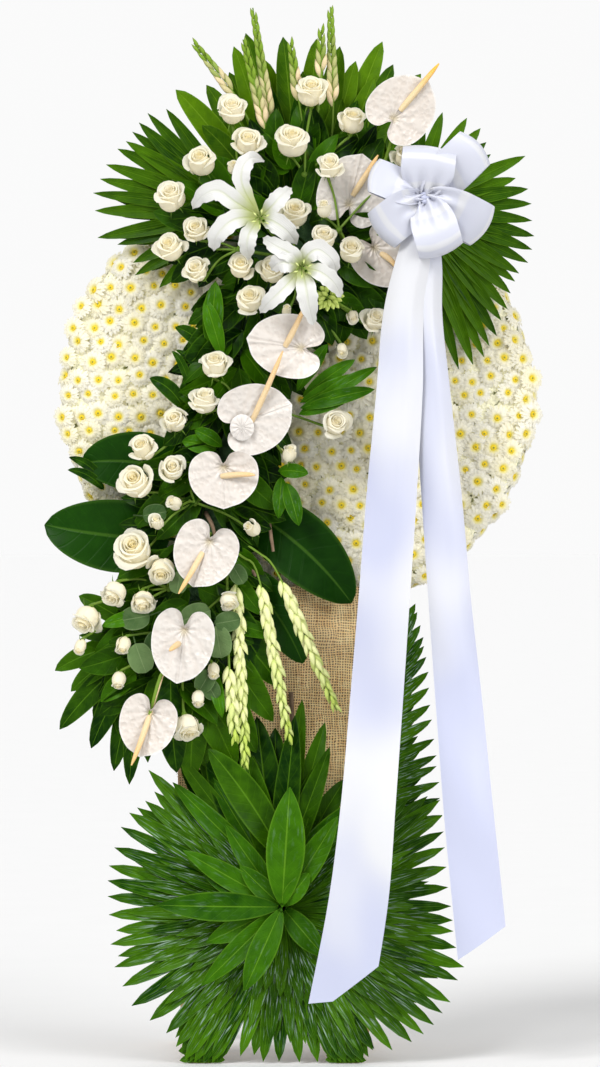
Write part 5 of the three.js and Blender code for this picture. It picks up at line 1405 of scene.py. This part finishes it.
def make_knot():
    knot, wire = Heap(), Heap()
    turn = ring(40)
    row = np.linspace(-1, 1, 12)[:, None]
    radius = 9 + 2 * np.cos(3 * math.pi * row) - 3 * row**2
    x = KNOT[0] + radius * np.cos(turn)
    z = KNOT[2] + 11 * row + 2 * np.sin(turn)
    y = KNOT[1] - 10 + radius * 0.9 * np.sin(turn)
    knot.surface(x, y, z, row, 0.0, 0.5, wrap=True)
    knot.piece("ribbon_knot", "white_satin", "ribbon")
    path = [(231, -256, 1513), (196, -220, 1478), *peg_path(124, 1440)]
    stem(wire, path, [2.4, 2.4], 8, 0.3)
    wire.piece("ribbon_pick", "green_stems", "ribbon")


make_daisies()
make_roses()
make_anthuriums()
make_lilies()
make_spikes()
palm_rng = np.random.default_rng(17)
for make in (make_upper_palms, make_base_palms, make_frond):
    make(palm_rng)
make_fill_leaves()
leaf_rng = np.random.default_rng(41)
for make in (
    make_large_leaves, make_top_leaves, make_foot_leaves, make_trailing_leaves, make_single_leaves,
):
    make(leaf_rng)
make_burlap()
make_bow()
make_knot()
for name in TAILS:
    make_tail(name)

# Wood and foam keep their CAD shape

CAD_LOOKS = {
    "wood_upright": ["post_left", "post_right", "brace_left", "brace_right"],
    "wood_lengthwise": ["runner_left", "runner_right"],
    "wood_crosswise": ["shelf", "high_rail"],
    "floral_foam": ["foam_disc", "foam_block_top", "foam_block_cascade", "foam_block_base"],
}
for look, names in CAD_LOOKS.items():
    for name in names:
        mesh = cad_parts[name].data
        mesh.materials.clear()
        mesh.materials.append(LOOKS[look])

# Floor, light and camera

FLOOR_REACH = 220.0
floor_mesh = bpy.data.meshes.new("floor")
corners = [(x * FLOOR_REACH, y * FLOOR_REACH, 0) for x, y in ((-1, -1), (1, -1), (1, 1), (-1, 1))]
floor_mesh.from_pydata(corners, [], [(0, 1, 2, 3)])
floor_mesh.materials.append(LOOKS["pale_floor"])
floor = bpy.data.objects.new("floor", floor_mesh)
bpy.context.scene.collection.objects.link(floor)

world = bpy.data.worlds.new("studio")
world.use_nodes = True
nodes, links = world.node_tree.nodes, world.node_tree.links
seen, light = nodes["Background"], nodes.new("ShaderNodeBackground")
for background, strength in ((seen, 0.96), (light, 0.46)):
    background.inputs["Color"].default_value = (1, 1, 1, 1)
    background.inputs["Strength"].default_value = strength
choice, ray = nodes.new("ShaderNodeMixShader"), nodes.new("ShaderNodeLightPath")
links.new(ray.outputs["Is Camera Ray"], choice.inputs[0])
links.new(light.outputs[0], choice.inputs[1])
links.new(seen.outputs[0], choice.inputs[2])
links.new(choice.outputs[0], nodes["World Output"].inputs["Surface"])
bpy.context.scene.world = world


def lamp(name, place, width, strength):
    """A distant soft light that shines from place towards the middle of the floor."""
    data = bpy.data.lights.new(name, "SUN")
    data.angle = math.radians(width)
    data.energy = strength
    light = bpy.data.objects.new(name, data)
    flat = math.hypot(place[0], place[1])
    light.rotation_euler = (math.atan2(flat, place[2]), 0, math.atan2(place[0], -place[1]))
    bpy.context.scene.collection.objects.link(light)


lamp("key", (-2.2, -3.8, 3.4), 22, 2.25)
lamp("fill", (3.0, -3.6, 2.0), 40, 1.7)
lamp("back", (0.6, 3.6, 3.8), 40, 0.6)

# Sensor and lens in millimetres, place in metres: level, in front of the middle of the object
SENSOR, LENS = 36, 170.6
CAMERA_PLACE = (0.0158, -9.0, 0.9315)
camera_data = bpy.data.cameras.new("camera")
camera_data.sensor_width = SENSOR
camera_data.lens = LENS
camera = bpy.data.objects.new("camera", camera_data)
camera.location = CAMERA_PLACE
camera.rotation_euler = (math.pi / 2, 0, 0)
bpy.context.scene.collection.objects.link(camera)
bpy.context.scene.camera = camera
bpy.context.scene.view_settings.view_transform = "Standard"
